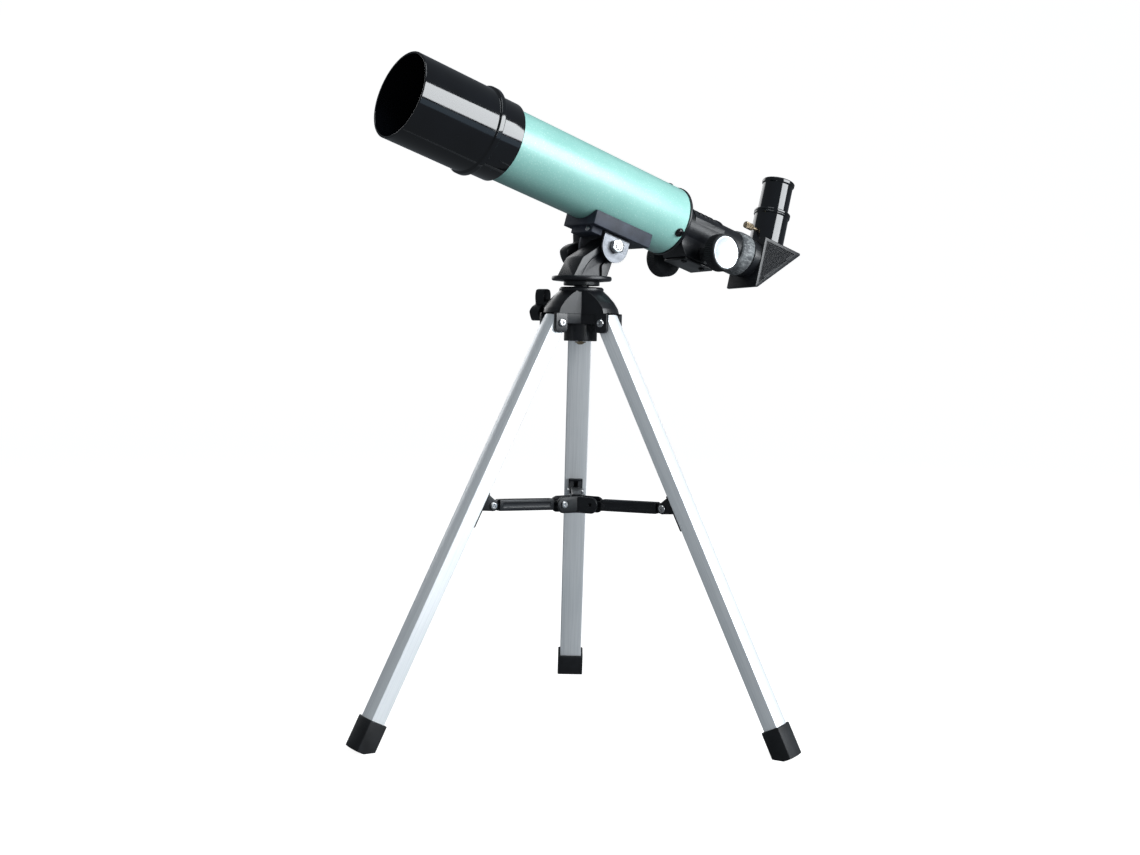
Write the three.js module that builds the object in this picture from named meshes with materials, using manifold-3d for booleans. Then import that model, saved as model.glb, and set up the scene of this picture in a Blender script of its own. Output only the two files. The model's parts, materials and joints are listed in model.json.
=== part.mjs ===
// A 50 mm beginner's refractor telescope on a folding table-top tripod.
// Millimetres, +Z up. Every piece is built about the tripod's axis with the floor at z = 0;
// the whole model is then moved so that the origin is the bottom centre of its bounding box.
import * as THREE from 'three';
import { mergeVertices } from 'three/addons/utils/BufferGeometryUtils.js';
import Module from 'manifold-3d';

const wasm = await Module();
wasm.setup();

// ---------------------------------------------------------------- driving dimensions
const GAP = 0.3;                     // clearance between pieces that touch
const DEG = Math.PI / 180;

// tripod
const LEG_AZIMUTHS = [90, 210, 330]; // rear, front left, front right
const HINGE = { r: 25, z: 323.7 };   // leg hinge, from the tripod's axis and the floor
const FOOT_R = 186;                  // where a leg's centre line meets the floor
const LEG_SLOPE = Math.atan((FOOT_R - HINGE.r) / HINGE.z);
const LEG = { in: -6, out: 5.3, crown: 7.7, half: 9.5, wall: 1.2, top: 4, bottom: -355.2 };
const CAP = { in: -8, out: 6.7, crown: 9.1, half: 11.4, top: -337, bottom: -362, floor: -355.5 };
const PIN_R = 2;                     // leg hinge pin
const HUB = { rim: 30.7, rimZ: 331, skirtZ: 323, armHalf: 13.2, slotHalf: 10, slotR: 9.1, cheekZ: 316 };
const POST = { r: 13.2, z: 309.5, floorZ: 312.5, bore: 6.4, topZ: 352.3 };
const LOCK = { azimuth: 150, z: 336, inner: 7.2, collar: 22, face: 31, back: 39.8, lobe: 15 };

// spreader: outer pivots on the legs, inner pivots on the spider
const OUTER_PIVOT = { r: 78.5, z: 180.7 };
const INNER_PIVOT = { r: 15.6, z: 179.3 };
const STRUT = { half: 4, tall: 9, tongueHalf: 1.5, tipR: 2.5, outerTip: 4, innerFree: 7.8, outerFree: 6.2 };
const SPIDER = { slotHalf: 4.4, half: 6.6, tipR: 6, webR: 8, webTop: -5, webBottom: -7 };
const KNUCKLE = { slotHalf: 2, half: 5, tipR: 4.4 };

// head and telescope
const REAR_AZIMUTH = 36.48;          // where the eyepiece end points
const ELEVATION = 16.12;             // how far the front is tilted up
const AXIS_Z = 436.1;                // tube axis above the tripod's axis
const TUBE_ROLL = -2.4;              // how far the tube is turned in its saddle, near side up
const TILT = { s: 34.5, h: -43 };    // tilt pivot, along and square to the tube
const TUBE = { r: 28.5, wall: 1, front: -98, rear: 91 };
const SHIELD = { front: -177, rear: -105.3, r: 33.45, inner: 31.8, bead: 35.1, beadFront: -109.5 };
const CELL = { front: -112, step: -105, rear: -84.4, r: 31.3, spigot: 31.5, seat: 25.4, lip: 23.8 };
const SADDLE = { front: 5.5, rear: 65, half: 20, top: -22.5, bottom: -34, blockRear: 20, blockFront: 9.5 };
const EAR = { inner: 14.3, outer: 15.8, half: 13, top: -34.3, web: -36 };
const FOCUSER = { r: 17, rear: 165, bore: 14.6, block: [104, 141], half: 14, bottom: -26, panel: [108, 142] };
const DRAW = { r: 14.2, inner: 12.9, front: 100, rear: 178, rackH: -15.3, collar: [166, 180], collarR: 18.6 };
const FOCUS_AXIS = { s: 126.4, h: -18.7 };
const PINION = { r: 3, pocket: 3.6 };
const KNOB = { r: 15.5, face: 41.8, inner: 29.5, discR: 13.65, hub: 6 };
const DIAGONAL = { front: 188, top: 18.5, rear: 232.5, bottom: -26, half: 18, nose: 12.5, noseFront: 158 };
const EYE_S = 206.6;                  // eyepiece axis along the tube
const HOLDER = { bottom: 18.8, top: 49, r: 15, bead: 16, bore: 12.5 };
const EYEPIECE = { bottom: 24, shoulder: 49.4, top: 77.6, r: 13.25, rim: 14.4, barrel: 12.1, hollow: 10.6 };
const THUMB = { h: 28, tip: 12.7, head: 20, end: 28.7 };
const TUBE_SCREW = { s: 86.8, low: 29.4, headR: 3.75, shankR: 1.5 };
const COVER_SCREWS = [113, 133.5];

// ---------------------------------------------------------------- solids
function toSolid(geometry) {
  const bare = new THREE.BufferGeometry();
  bare.setAttribute('position', geometry.getAttribute('position').clone());
  if (geometry.index) bare.setIndex(geometry.index.clone());
  const merged = mergeVertices(bare, 1e-4);
  const points = merged.getAttribute('position').array;
  const source = merged.index.array;
  const triangles = [];
  let volume = 0;
  const a = new THREE.Vector3();
  const b = new THREE.Vector3();
  const c = new THREE.Vector3();
  for (let i = 0; i < source.length; i += 3) {
    const [p, q, r] = [source[i], source[i + 1], source[i + 2]];
    if (p === q || q === r || r === p) continue;
    triangles.push(p, q, r);
    a.fromArray(points, 3 * p);
    b.fromArray(points, 3 * q);
    c.fromArray(points, 3 * r);
    volume += a.dot(b.cross(c));
  }
  if (volume < 0) triangles.reverse();
  return new wasm.Manifold(new wasm.Mesh({
    numProp: 3,
    vertProperties: new Float32Array(points),
    triVerts: new Uint32Array(triangles),
  }));
}

function toGeometry(solid) {
  const result = solid.getMesh();
  const geometry = new THREE.BufferGeometry();
  geometry.setAttribute('position', new THREE.BufferAttribute(new Float32Array(result.vertProperties), 3));
  geometry.setIndex(new THREE.BufferAttribute(new Uint32Array(result.triVerts), 1));
  return geometry;
}

function join(...pieces) {
  return toGeometry(pieces.map(toSolid).reduce((sum, piece) => sum.add(piece)));
}

function cut(body, ...tools) {
  return toGeometry(tools.map(toSolid).reduce((rest, tool) => rest.subtract(tool), toSolid(body)));
}

function common(first, second) {
  return toGeometry(toSolid(first).intersect(toSolid(second)));
}

// ---------------------------------------------------------------- primitive shapes
function block(x, y, z) {
  const box = new THREE.BoxGeometry(x[1] - x[0], y[1] - y[0], z[1] - z[0]);
  return box.translate((x[0] + x[1]) / 2, (y[0] + y[1]) / 2, (z[0] + z[1]) / 2);
}

function rod(axis, radius, from, to, at = [0, 0, 0], sides = 14) {
  const geometry = new THREE.CylinderGeometry(radius, radius, to - from, sides).translate(0, (from + to) / 2, 0);
  if (axis === 'x') geometry.rotateZ(-90 * DEG);
  if (axis === 'z') geometry.rotateX(90 * DEG);
  return geometry.translate(...at);
}

// closed [along, radius] outline turned about the x or z axis
function turned(axis, outline, sides = 28) {
  const points = outline.map(([along, radius]) => new THREE.Vector2(radius, along));
  const closes = outline[0][1] === 0 && outline[outline.length - 1][1] === 0;
  if (!closes) points.push(points[0].clone());
  const geometry = new THREE.LatheGeometry(points, sides);
  return axis === 'x' ? geometry.rotateZ(-90 * DEG) : geometry.rotateX(90 * DEG);
}

function outlineShape(points) {
  return new THREE.Shape(points.map(([x, y]) => new THREE.Vector2(x, y)));
}

// an outline in the x-z plane, extruded along y
function plateXZ(points, y0, y1) {
  const shape = Array.isArray(points) ? outlineShape(points) : points;
  const options = { depth: y1 - y0, bevelEnabled: false, curveSegments: 8 };
  return new THREE.ExtrudeGeometry(shape, options).rotateX(90 * DEG).translate(0, y1, 0);
}

function arcPoints(cx, cy, radius, from, to, steps) {
  const points = [];
  for (let i = 0; i <= steps; i += 1) {
    const angle = (from + ((to - from) * i) / steps) * DEG;
    points.push([cx + radius * Math.cos(angle), cy + radius * Math.sin(angle)]);
  }
  return points;
}

// three broad lobes with hollow flanks, extruded along z from z0 to z1
function lobedKnob(lobe, z0, z1) {
  const points = [];
  const steps = 48;
  for (let i = 0; i < steps; i += 1) {
    const angle = (i / steps) * 2 * Math.PI;
    const radius = Math.min(lobe, lobe * (0.76 + 0.36 * Math.cos(3 * angle)));
    points.push([radius * Math.cos(angle), radius * Math.sin(angle)]);
  }
  const options = { depth: z1 - z0, bevelEnabled: false };
  return new THREE.ExtrudeGeometry(outlineShape(points), options).translate(0, 0, z0);
}

// flat-backed section of a leg with a crowned outer face, in x (outwards) and y
function legSection(inner, outer, crown, half, corner = 0.8) {
  const shape = new THREE.Shape();
  shape.moveTo(inner, -half + corner);
  shape.lineTo(inner + corner, -half);
  shape.lineTo(outer, -half);
  shape.quadraticCurveTo(2 * crown - outer, 0, outer, half);
  shape.lineTo(inner + corner, half);
  shape.lineTo(inner, half - corner);
  shape.closePath();
  return shape;
}

function alongLeg(shape, bottom, top) {
  const options = { depth: top - bottom, bevelEnabled: false, curveSegments: 6 };
  return new THREE.ExtrudeGeometry(shape, options).translate(0, 0, bottom);
}

// ---------------------------------------------------------------- finishes
const FINISH = {
  satinBlack: { color: 0x1c1f24, roughness: 0.45, metalness: 0 },
  glossBlack: { color: 0x0c0d10, roughness: 0.18, metalness: 0 },
  rubber: { color: 0x17181a, roughness: 0.75, metalness: 0 },
  slate: { color: 0x2a2f3a, roughness: 0.7, metalness: 0 },
  teal: { color: 0x87c8be, roughness: 0.35, metalness: 0.4 },
  aluminium: { color: 0xb9bcc0, roughness: 0.4, metalness: 0.9 },
  steel: { color: 0xc9cbce, roughness: 0.3, metalness: 1 },
  sheetMetal: { color: 0xa9acb2, roughness: 0.45, metalness: 0.8 },
  darkScrew: { color: 0x121214, roughness: 0.3, metalness: 0.6 },
  brass: { color: 0x8a7a5c, roughness: 0.35, metalness: 1 },
  silver: { color: 0xdfe6ec, roughness: 0.3, metalness: 0.9 },
  scuffed: { color: 0x5b5e62, roughness: 0.6, metalness: 0.5 },
  glass: { color: 0xdfeff2, roughness: 0.05, metalness: 0 },
};

function piece(name, geometry, finish) {
  const whole = toGeometry(toSolid(geometry));
  const mesh = new THREE.Mesh(whole, new THREE.MeshStandardMaterial(FINISH[finish]));
  mesh.name = name;
  return mesh;
}

// ---------------------------------------------------------------- tripod hub
function hubArm(azimuth) {
  const { rim, rimZ, skirtZ, armHalf, slotHalf, slotR, cheekZ } = HUB;
  const dome = turned('z', [
    [rimZ, 0], [rimZ, rim], [335.4, 29.5], [340.4, 26.4], [345.6, 21.8], [350, 16.9], [350, 0],
  ], 30);
  const upper = common(dome, block([0, 40], [-armHalf, armHalf], [rimZ, 351]));
  const lower = block([0, HINGE.r + 5], [0.6 - armHalf, armHalf - 0.6], [skirtZ, rimZ + 0.5]);
  const corner = 3.2;
  const inner = HINGE.r - 5.4;
  const outer = HINGE.r + 5.4;
  const cheekShape = [
    [inner, rimZ + 1],
    ...arcPoints(inner + corner, cheekZ + corner, corner, 180, 270, 3),
    ...arcPoints(outer - corner, cheekZ + corner, corner, 270, 360, 3),
    [outer, rimZ + 1],
  ];
  const cheeks = plateXZ(cheekShape, -armHalf, armHalf);
  const slot = join(
    rod('y', slotR, -slotHalf, slotHalf, [HINGE.r, 0, HINGE.z], 18),
    block([HINGE.r - slotR, 45], [-slotHalf, slotHalf], [300, HINGE.z]),
    block([HINGE.r, 45], [-slotHalf, slotHalf], [300, rimZ + 0.6]),
  );
  const pinHole = rod('y', PIN_R + GAP, -20, 20, [HINGE.r, 0, HINGE.z], 10);
  return cut(join(upper, lower, cheeks), slot, pinHole).rotateZ(azimuth * DEG);
}

function tripodHub() {
  const post = turned('z', [[POST.z, 0], [POST.z, POST.r], [350, POST.r], [350, 0]], 26);
  const collar = turned('z', [
    [348.6, 0], [348.6, 16.9], [349.6, 17.8], [351.2, 17.8], [POST.topZ, 16.6], [POST.topZ, 0],
  ], 26);
  const boss = rod('x', 5.5, 9, 21, [0, 0, LOCK.z]).rotateZ(LOCK.azimuth * DEG);
  const body = join(post, collar, boss, ...LEG_AZIMUTHS.map(hubArm));
  const bore = rod('z', POST.bore, POST.floorZ, 360, [0, 0, 0], 18);
  const screwHole = rod('z', 2.8, 300, 320, [0, 0, 0], 10);
  const lockHole = rod('x', 2.5 + GAP, 0, 30, [0, 0, LOCK.z], 10).rotateZ(LOCK.azimuth * DEG);
  return piece('tripod_hub', cut(body, bore, screwHole, lockHole), 'satinBlack');
}

function panLockKnob() {
  const lobes = lobedKnob(LOCK.lobe, LOCK.face, LOCK.back);
  const collar = rod('z', 6, LOCK.collar, LOCK.face + 1, [0, 0, 0], 14);
  const stud = rod('z', 2.5, LOCK.inner, LOCK.collar + 1, [0, 0, 0], 10);
  const mesh = piece('pan_lock_knob', join(lobes, collar, stud).rotateZ(60 * DEG), 'satinBlack');
  mesh.rotation.set(0, 90 * DEG, 0);
  const turn = new THREE.Group();
  turn.position.z = LOCK.z;
  turn.rotation.z = LOCK.azimuth * DEG;
  turn.add(mesh);
  return turn;
}

// ---------------------------------------------------------------- legs
// x outwards square to the leg, y across it, z up along it, zero at the hinge
function legTube(number) {
  const section = legSection(LEG.in, LEG.out, LEG.crown, LEG.half);
  const w = LEG.wall;
  section.holes.push(legSection(LEG.in + w, LEG.out - 0.4, LEG.crown - w, LEG.half - w));
  const pinHole = rod('y', PIN_R + GAP, -15, 15, [0, 0, 0], 10);
  const screwHole = rod('x', 1.2 + GAP, -10, 0, [0, 0, BRACKET.screwZ], 8);
  return piece(`leg_tube_${number}`, cut(alongLeg(section, LEG.bottom, LEG.top), pinHole, screwHole), 'aluminium');
}

function legHingePin(number) {
  const y = HUB.armHalf + GAP;
  const geometry = join(
    rod('y', PIN_R, -y - 0.5, y + 0.5, [0, 0, 0], 10),
    rod('y', 3.1, y, y + 1.6, [0, 0, 0], 14),
    rod('y', 3.1, -y - 1.6, -y, [0, 0, 0], 14),
  );
  return piece(`leg_hinge_pin_${number}`, geometry, 'steel');
}

function footCap(number) {
  const outside = alongLeg(legSection(CAP.in, CAP.out, CAP.crown, CAP.half, 1.5), CAP.bottom, CAP.top);
  const section = legSection(LEG.in - GAP, LEG.out + GAP, LEG.crown + GAP, LEG.half + GAP);
  const pocket = alongLeg(section, CAP.floor, CAP.top + 5);
  const ground = block([-400, 400], [-60, 60], [-60, 0]);
  ground.translate(-HINGE.r, 0, -HINGE.z).rotateY(LEG_SLOPE);
  return piece(`foot_cap_${number}`, cut(outside, pocket, ground), 'rubber');
}

// the outer strut pivot in the leg's own frame
const PIVOT_ON_LEG = new THREE.Vector3(OUTER_PIVOT.r - HINGE.r, 0, OUTER_PIVOT.z - HINGE.z)
  .applyAxisAngle(new THREE.Vector3(0, 1, 0), LEG_SLOPE);
const BRACKET = {
  face: LEG.in - GAP, back: LEG.in - GAP - 2.4, half: 6,
  top: PIVOT_ON_LEG.z + 7.5, bottom: PIVOT_ON_LEG.z - 22, screwZ: PIVOT_ON_LEG.z - 17,
};

function legBracket(number) {
  const { x, z } = PIVOT_ON_LEG;
  const plate = block([BRACKET.back, BRACKET.face], [-BRACKET.half, BRACKET.half], [BRACKET.bottom, BRACKET.top]);
  const cheeks = plateXZ([
    [BRACKET.back + 1, z + 6.5],
    ...arcPoints(x, z, KNUCKLE.tipR, 100, 260, 5),
    [BRACKET.back + 1, z - 8],
  ], -KNUCKLE.half, KNUCKLE.half);
  const slot = block([x - 10, BRACKET.back], [-KNUCKLE.slotHalf, KNUCKLE.slotHalf], [z - 14, z + 12]);
  const pinHole = rod('y', 1.5 + GAP, -10, 10, [x, 0, z], 8);
  const screwHole = rod('x', 1.2 + GAP, -20, 0, [0, 0, BRACKET.screwZ], 8);
  return piece(`leg_bracket_${number}`, cut(join(plate, cheeks), slot, pinHole, screwHole), 'satinBlack');
}

function bracketScrew(number) {
  const under = BRACKET.back - GAP;
  const geometry = join(
    rod('x', 1.2, under - 0.5, LEG.in + 3, [0, 0, BRACKET.screwZ], 8),
    rod('x', 2.7, under - 1.4, under, [0, 0, BRACKET.screwZ], 10),
  );
  return piece(`bracket_screw_${number}`, geometry, 'steel');
}

function outerPin(number) {
  const { x, z } = PIVOT_ON_LEG;
  const y = KNUCKLE.half + GAP;
  const geometry = join(
    rod('y', 1.5, -y - 0.5, y + 0.5, [x, 0, z], 8),
    rod('y', 2.9, y, y + 1.5, [x, 0, z], 10),
    rod('y', 2.9, -y - 1.5, -y, [x, 0, z], 10),
  );
  return piece(`strut_outer_pin_${number}`, geometry, 'steel');
}

// ---------------------------------------------------------------- spreader
// a strut lies along x from its outer pivot at zero to its inner pivot at -length
function strut(number) {
  const length = Math.hypot(OUTER_PIVOT.r - INNER_PIVOT.r, OUTER_PIVOT.z - INNER_PIVOT.z);
  const { half, tall, tongueHalf, tipR, outerTip, innerFree, outerFree } = STRUT;
  const bar = block([-length + innerFree, -outerFree], [-half, half], [-tall / 2, tall / 2]);
  const innerTongue = plateXZ([
    [-length + innerFree + 2, tipR], ...arcPoints(-length, 0, tipR, 90, 270, 5), [-length + innerFree + 2, -tipR],
  ], -tongueHalf, tongueHalf);
  const outerTongue = plateXZ([
    [-outerFree - 2, -outerTip], ...arcPoints(0, 0, outerTip, -90, 90, 5), [-outerFree - 2, outerTip],
  ], -tongueHalf, tongueHalf);
  const pinHole = rod('y', 1.5 + GAP, -5, 5, [0, 0, 0], 8);
  const eye = rod('y', 1.4, -5, 5, [-length, 0, 0], 8);
  const channel = block([-length + innerFree + 4, -outerFree - 4], [-half + 1.6, half - 1.6], [-tall, -tall / 2 + 5.5]);
  const geometry = cut(join(bar, innerTongue, outerTongue), pinHole, eye, channel);
  const mesh = piece(`strut_${number}`, geometry, 'satinBlack');
  mesh.position.set(OUTER_PIVOT.r, 0, OUTER_PIVOT.z);
  mesh.rotation.y = -Math.atan2(OUTER_PIVOT.z - INNER_PIVOT.z, OUTER_PIVOT.r - INNER_PIVOT.r);
  return mesh;
}

function spreaderSpider() {
  const { slotHalf, half, tipR, webR, webTop, webBottom } = SPIDER;
  const { r, z } = INNER_PIVOT;
  const arms = LEG_AZIMUTHS.map((azimuth) => plateXZ([
    [0, z + webBottom], [r - 2, z + webBottom], ...arcPoints(r, z, tipR, -60, 90, 5), [0, z + tipR],
  ], -half, half).rotateZ(azimuth * DEG));
  const slots = LEG_AZIMUTHS.map((azimuth) => join(
    block([-3, r + 12], [-slotHalf, slotHalf], [z + webTop, z + 12]),
    block([webR, r + 12], [-slotHalf, slotHalf], [z - 12, z + 12]),
    rod('y', 1.3 + GAP, -8, 8, [r, 0, z], 8),
  ).rotateZ(azimuth * DEG));
  const web = rod('z', webR, z + webBottom, z + webTop, [0, 0, 0], 16);
  return piece('spreader_spider', cut(join(web, ...arms), ...slots), 'satinBlack');
}

function spiderPin(number) {
  const y = SPIDER.half + GAP;
  const geometry = join(
    rod('y', 1.3, SPIDER.slotHalf + 0.2, y + 0.5, [INNER_PIVOT.r, 0, INNER_PIVOT.z], 8),
    rod('y', 2.9, y, y + 1.5, [INNER_PIVOT.r, 0, INNER_PIVOT.z], 10),
  );
  return piece(`spider_pin_${number}`, geometry, 'steel');
}

function legAssembly(azimuth, index) {
  const number = index + 1;
  const radial = new THREE.Group();
  radial.rotation.z = azimuth * DEG;
  const hinged = new THREE.Group();
  hinged.position.set(HINGE.r, 0, HINGE.z);
  hinged.rotation.y = -LEG_SLOPE;
  hinged.add(legTube(number), footCap(number), legBracket(number), bracketScrew(number), outerPin(number));
  const pin = legHingePin(number);
  pin.position.set(HINGE.r, 0, HINGE.z);
  radial.add(hinged, pin, strut(number), spiderPin(number));
  return radial;
}

// ---------------------------------------------------------------- pan head
// x towards the eyepiece end, y to the far side, z up
const TILT_PIVOT = new THREE.Vector3(TILT.s, 0, TILT.h)
  .applyAxisAngle(new THREE.Vector3(0, 1, 0), ELEVATION * DEG)
  .add(new THREE.Vector3(0, 0, AXIS_Z));

function panHead() {
  const { x, z } = TILT_PIVOT;
  const turning = turned('z', [
    [313, 0], [313, 6], [353.6, 6], [353.6, 14.4], [356.6, 14.4], [357.4, 23.2], [358.4, 24], [360.2, 24],
    [361, 23.4], [361, 0],
  ], 26);
  const frontWeb = plateXZ([
    [-17, 360], [-7.5, 376], [8.5, 385.2], [x - 4, z + 6.4], [x + 4, z + 5], [8, 379], [-2, 371], [-9, 360],
  ], -11, 11);
  const core = plateXZ([
    [-15, 360], [-6, 375], [10, 385.4], ...arcPoints(x, z, 7, 110, -60, 8), [18, 374], [13, 368], [15, 360],
  ], -7.5, 7.5);
  const rearRib = plateXZ([[18, 360], [x + 5, z - 5.2], [x + 1, z - 6.6], [12.5, 370], [13, 360]], -9.5, 9.5);
  const eye = rod('y', 3 + GAP, -20, 20, [x, 0, z], 10);
  const screwHole = rod('z', 1.9 + GAP, 300, 326, [0, 0, 0], 8);
  return piece('pan_head', cut(join(turning, frontWeb, core, rearRib), eye, screwHole), 'satinBlack');
}

function panPivotScrew() {
  const under = POST.z - GAP;
  const geometry = join(
    rod('z', 1.9, under - 0.5, 324, [0, 0, 0], 8),
    rod('z', 4.4, under - 1, under, [0, 0, 0], 14),
    rod('z', 3, under - 2.4, under - 0.5, [0, 0, 0], 10),
  );
  return piece('pan_pivot_screw', geometry, 'brass');
}

// ---------------------------------------------------------------- tilting cradle
// from here on: x rearwards along the tube, y to the far side, z up square to the tube
function tiltBracket() {
  const { inner, outer, half, top, web } = EAR;
  const side = [
    [TILT.s - half, top], ...arcPoints(TILT.s, TILT.h, half, 180, 360, 12), [TILT.s + half, top],
  ];
  const whole = plateXZ(side, -outer, outer);
  const inside = block([TILT.s - 20, TILT.s + 20], [-inner, inner], [TILT.h - 20, web]);
  const boltHole = rod('y', 3 + GAP, -30, 30, [TILT.s, 0, TILT.h], 10);
  return piece('tilt_bracket', cut(whole, inside, boltHole), 'sheetMetal');
}

function tubeSaddle() {
  const { front, rear, half, top, bottom, blockFront, blockRear } = SADDLE;
  const body = block([front, rear], [-half, half], [bottom, top]);
  const stop = block([blockFront, blockRear], [-13.6, 13.6], [bottom - 5, bottom + 1]);
  const cradle = rod('x', TUBE.r + GAP, -20, 100, [0, 0, 0], 34);
  const screwHole = rod('x', 1.2 + GAP, 0, 18, [0, -8.5, bottom - 2.4], 8);
  return piece('tube_saddle', cut(join(body, stop), cradle, screwHole), 'slate');
}

function saddleScrew() {
  const z = SADDLE.bottom - 2.4;
  const geometry = join(
    rod('x', 1.2, SADDLE.blockFront - 1, 17, [0, -8.5, z], 8),
    rod('x', 2.2, SADDLE.blockFront - 1.6, SADDLE.blockFront - GAP, [0, -8.5, z], 10),
  );
  return piece('saddle_screw', geometry, 'steel');
}

function tiltBolt() {
  const geometry = rod('y', 3, -20.6, 27, [TILT.s, 0, TILT.h], 14);
  return piece('tilt_bolt', geometry, 'steel');
}

function tiltNut() {
  const outer = EAR.outer + GAP;
  const nut = join(
    rod('y', 5.9, -outer - 4.2, -outer, [TILT.s, 0, TILT.h], 6),
    rod('y', 5.2, -outer - 0.8, -outer, [TILT.s, 0, TILT.h], 16),
  );
  return piece('tilt_nut', cut(nut, rod('y', 3 + GAP, -30, 0, [TILT.s, 0, TILT.h], 14)), 'steel');
}

function tiltClampKnob() {
  const lobes = lobedKnob(20, 23, 33).rotateZ(20 * DEG);
  const collar = rod('z', 7, EAR.outer + GAP, 24, [0, 0, 0], 16);
  const thread = rod('z', 3 + GAP, 0, 27.5, [0, 0, 0], 14);
  const geometry = cut(join(lobes, collar), thread).rotateX(-90 * DEG);
  const mesh = piece('tilt_clamp_knob', geometry, 'satinBlack');
  mesh.position.set(TILT.s, 0, TILT.h);
  return mesh;
}

// ---------------------------------------------------------------- objective end
// three copies of a shape on +z, turned round the tube; the first points low on the near side
function radialAtTube(build) {
  return [0, 120, 240].map((step) => build().rotateX((90 + TUBE_SCREW.low + step) * DEG));
}

function mainTube() {
  const wall = turned('x', [
    [TUBE.front, TUBE.r], [TUBE.rear, TUBE.r], [TUBE.rear, TUBE.r - TUBE.wall], [TUBE.front, TUBE.r - TUBE.wall],
  ], 40);
  const holes = radialAtTube(() => rod('z', TUBE_SCREW.shankR + GAP, 20, 40, [TUBE_SCREW.s, 0, 0], 8));
  return piece('main_tube', cut(wall, ...holes), 'teal');
}

function tubeScrews() {
  const geometries = radialAtTube(() => {
    const head = turned('z', [
      [TUBE.r + 0.25, 0], [TUBE.r + 0.25, TUBE_SCREW.headR], [TUBE.r + 1.2, TUBE_SCREW.headR],
      [TUBE.r + 2.2, TUBE_SCREW.headR - 1.1], [TUBE.r + 2.6, 0],
    ], 12);
    const shank = rod('z', TUBE_SCREW.shankR, 24, TUBE.r + 1, [0, 0, 0], 8);
    return join(head, shank).translate(TUBE_SCREW.s, 0, 0);
  });
  return geometries.map((geometry, index) => piece(`tube_screw_${index + 1}`, geometry, 'darkScrew'));
}

function objectiveCell() {
  const { front, step, rear, r, spigot, seat, lip } = CELL;
  const sleeve = TUBE.r + GAP;
  return piece('objective_cell', turned('x', [
    [front, spigot], [step, spigot], [step, r], [rear, r], [rear, sleeve], [TUBE.front - GAP, sleeve],
    [TUBE.front - GAP, lip], [TUBE.front - 3, lip], [TUBE.front - 3, seat], [front, seat],
  ], 32), 'glossBlack');
}

function objectiveLens() {
  const edge = 25.1;
  const back = TUBE.front - 3 - GAP;
  return piece('objective_lens', turned('x', [
    [back + 1.2, 0], [back + 0.7, 12], [back, 23.2], [back, edge], [back - 4, edge], [back - 6.2, 15],
    [back - 7, 7], [back - 7.2, 0],
  ], 28), 'glass');
}

function lensRetainingRing() {
  const back = TUBE.front - 7.6;
  return piece('lens_retaining_ring', turned('x', [
    [back, 25.1], [back, 24], [back - 2.6, 23.4], [back - 2.6, 25.1],
  ], 28), 'satinBlack');
}

function dewShield() {
  const { front, rear, r, inner, bead, beadFront } = SHIELD;
  return piece('dew_shield', turned('x', [
    [front, r - 0.6], [front + 0.6, r], [beadFront - 0.8, r], [beadFront, bead], [rear - 0.6, bead], [rear, bead - 0.6],
    [rear, inner], [front, inner],
  ], 40), 'glossBlack');
}

// ---------------------------------------------------------------- focuser
function focuserBody() {
  const { r, rear, bore, block: span, half, bottom, panel } = FOCUSER;
  const barrel = turned('x', [
    [80, 27.2], [91.3, 27.2], [91.3, 29.3], [93, 29.3], [94.4, 28.2], [96.5, 20.5], [99, r], [rear - 1, r],
    [rear, r - 1], [rear, bore], [94, bore], [90, 25.2], [80, 25.2],
  ], 30);
  const housing = plateXZ([
    [span[0] - 4, -8], [span[0] - 3, -18], [span[0] + 4, bottom], [span[1], bottom], [span[1] + 3, -8],
  ], -half, half);
  const ring = turned('x', [[panel[0], r - 1], [panel[0], r + 1.3], [panel[1], r + 1.3], [panel[1], r - 1]], 30);
  const raised = common(ring, block([90, 160], [-16.6, 16.6], [3.5, 30]));
  const { s, h } = FOCUS_AXIS;
  const cuts = [
    rod('x', bore, 88, 200, [0, 0, 0], 28),
    block([span[0], rear + 5], [-2.4, 2.4], [-18.5, -10]),
    rod('x', 24, 80, 90, [0, 0, 0], 28),
    rod('y', 2.5 + GAP, -30, 30, [s, 0, h], 10),
    rod('y', PINION.pocket, -6, 6, [s, 0, h], 14),
    block([s - PINION.pocket, s + PINION.pocket], [-6, 6], [bottom - 3, h]),
    ...COVER_SCREWS.map((at) => rod('z', 1.2 + GAP, -30, -20.5, [at, -7, 0], 8)),
    ...radialAtTube(() => rod('z', TUBE_SCREW.shankR + GAP, 20, 40, [TUBE_SCREW.s, 0, 0], 8)),
  ];
  return piece('focuser_body', cut(join(barrel, housing, raised), ...cuts), 'satinBlack');
}

function pinionCover() {
  const { block: span, half, bottom } = FOCUSER;
  const plate = block([span[0] + 5, span[1] - 0.5], [-half + 0.6, half - 0.6], [bottom - GAP - 2, bottom - GAP]);
  const holes = COVER_SCREWS.map((at) => rod('z', 1.2 + GAP, -40, 0, [at, -7, 0], 8));
  return piece('pinion_cover', cut(plate, ...holes), 'satinBlack');
}

function pinionCoverScrew(at, index) {
  const under = FOCUSER.bottom - 2 - 2 * GAP;
  const geometry = join(
    rod('z', 1.2, under - 0.5, -21, [at, -7, 0], 8),
    rod('z', 2.6, under - 1.2, under, [at, -7, 0], 10),
  );
  return piece(`pinion_cover_screw_${index + 1}`, geometry, 'darkScrew');
}

function drawtube() {
  const { r, inner, front, rear, rackH } = DRAW;
  const tube = turned('x', [[front, r], [rear, r], [rear, inner], [front, inner]], 28);
  const rack = block([front + 6, 163], [-2, 2], [rackH, -r + 0.6]);
  const teeth = [];
  const pitch = 3;
  for (let s = front + 8; s < 162; s += pitch) {
    teeth.push(block([s, s + pitch / 2], [-3, 3], [rackH - 1, rackH + 0.9]));
  }
  return piece('drawtube', join(tube, cut(rack, ...teeth)), 'satinBlack');
}

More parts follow.
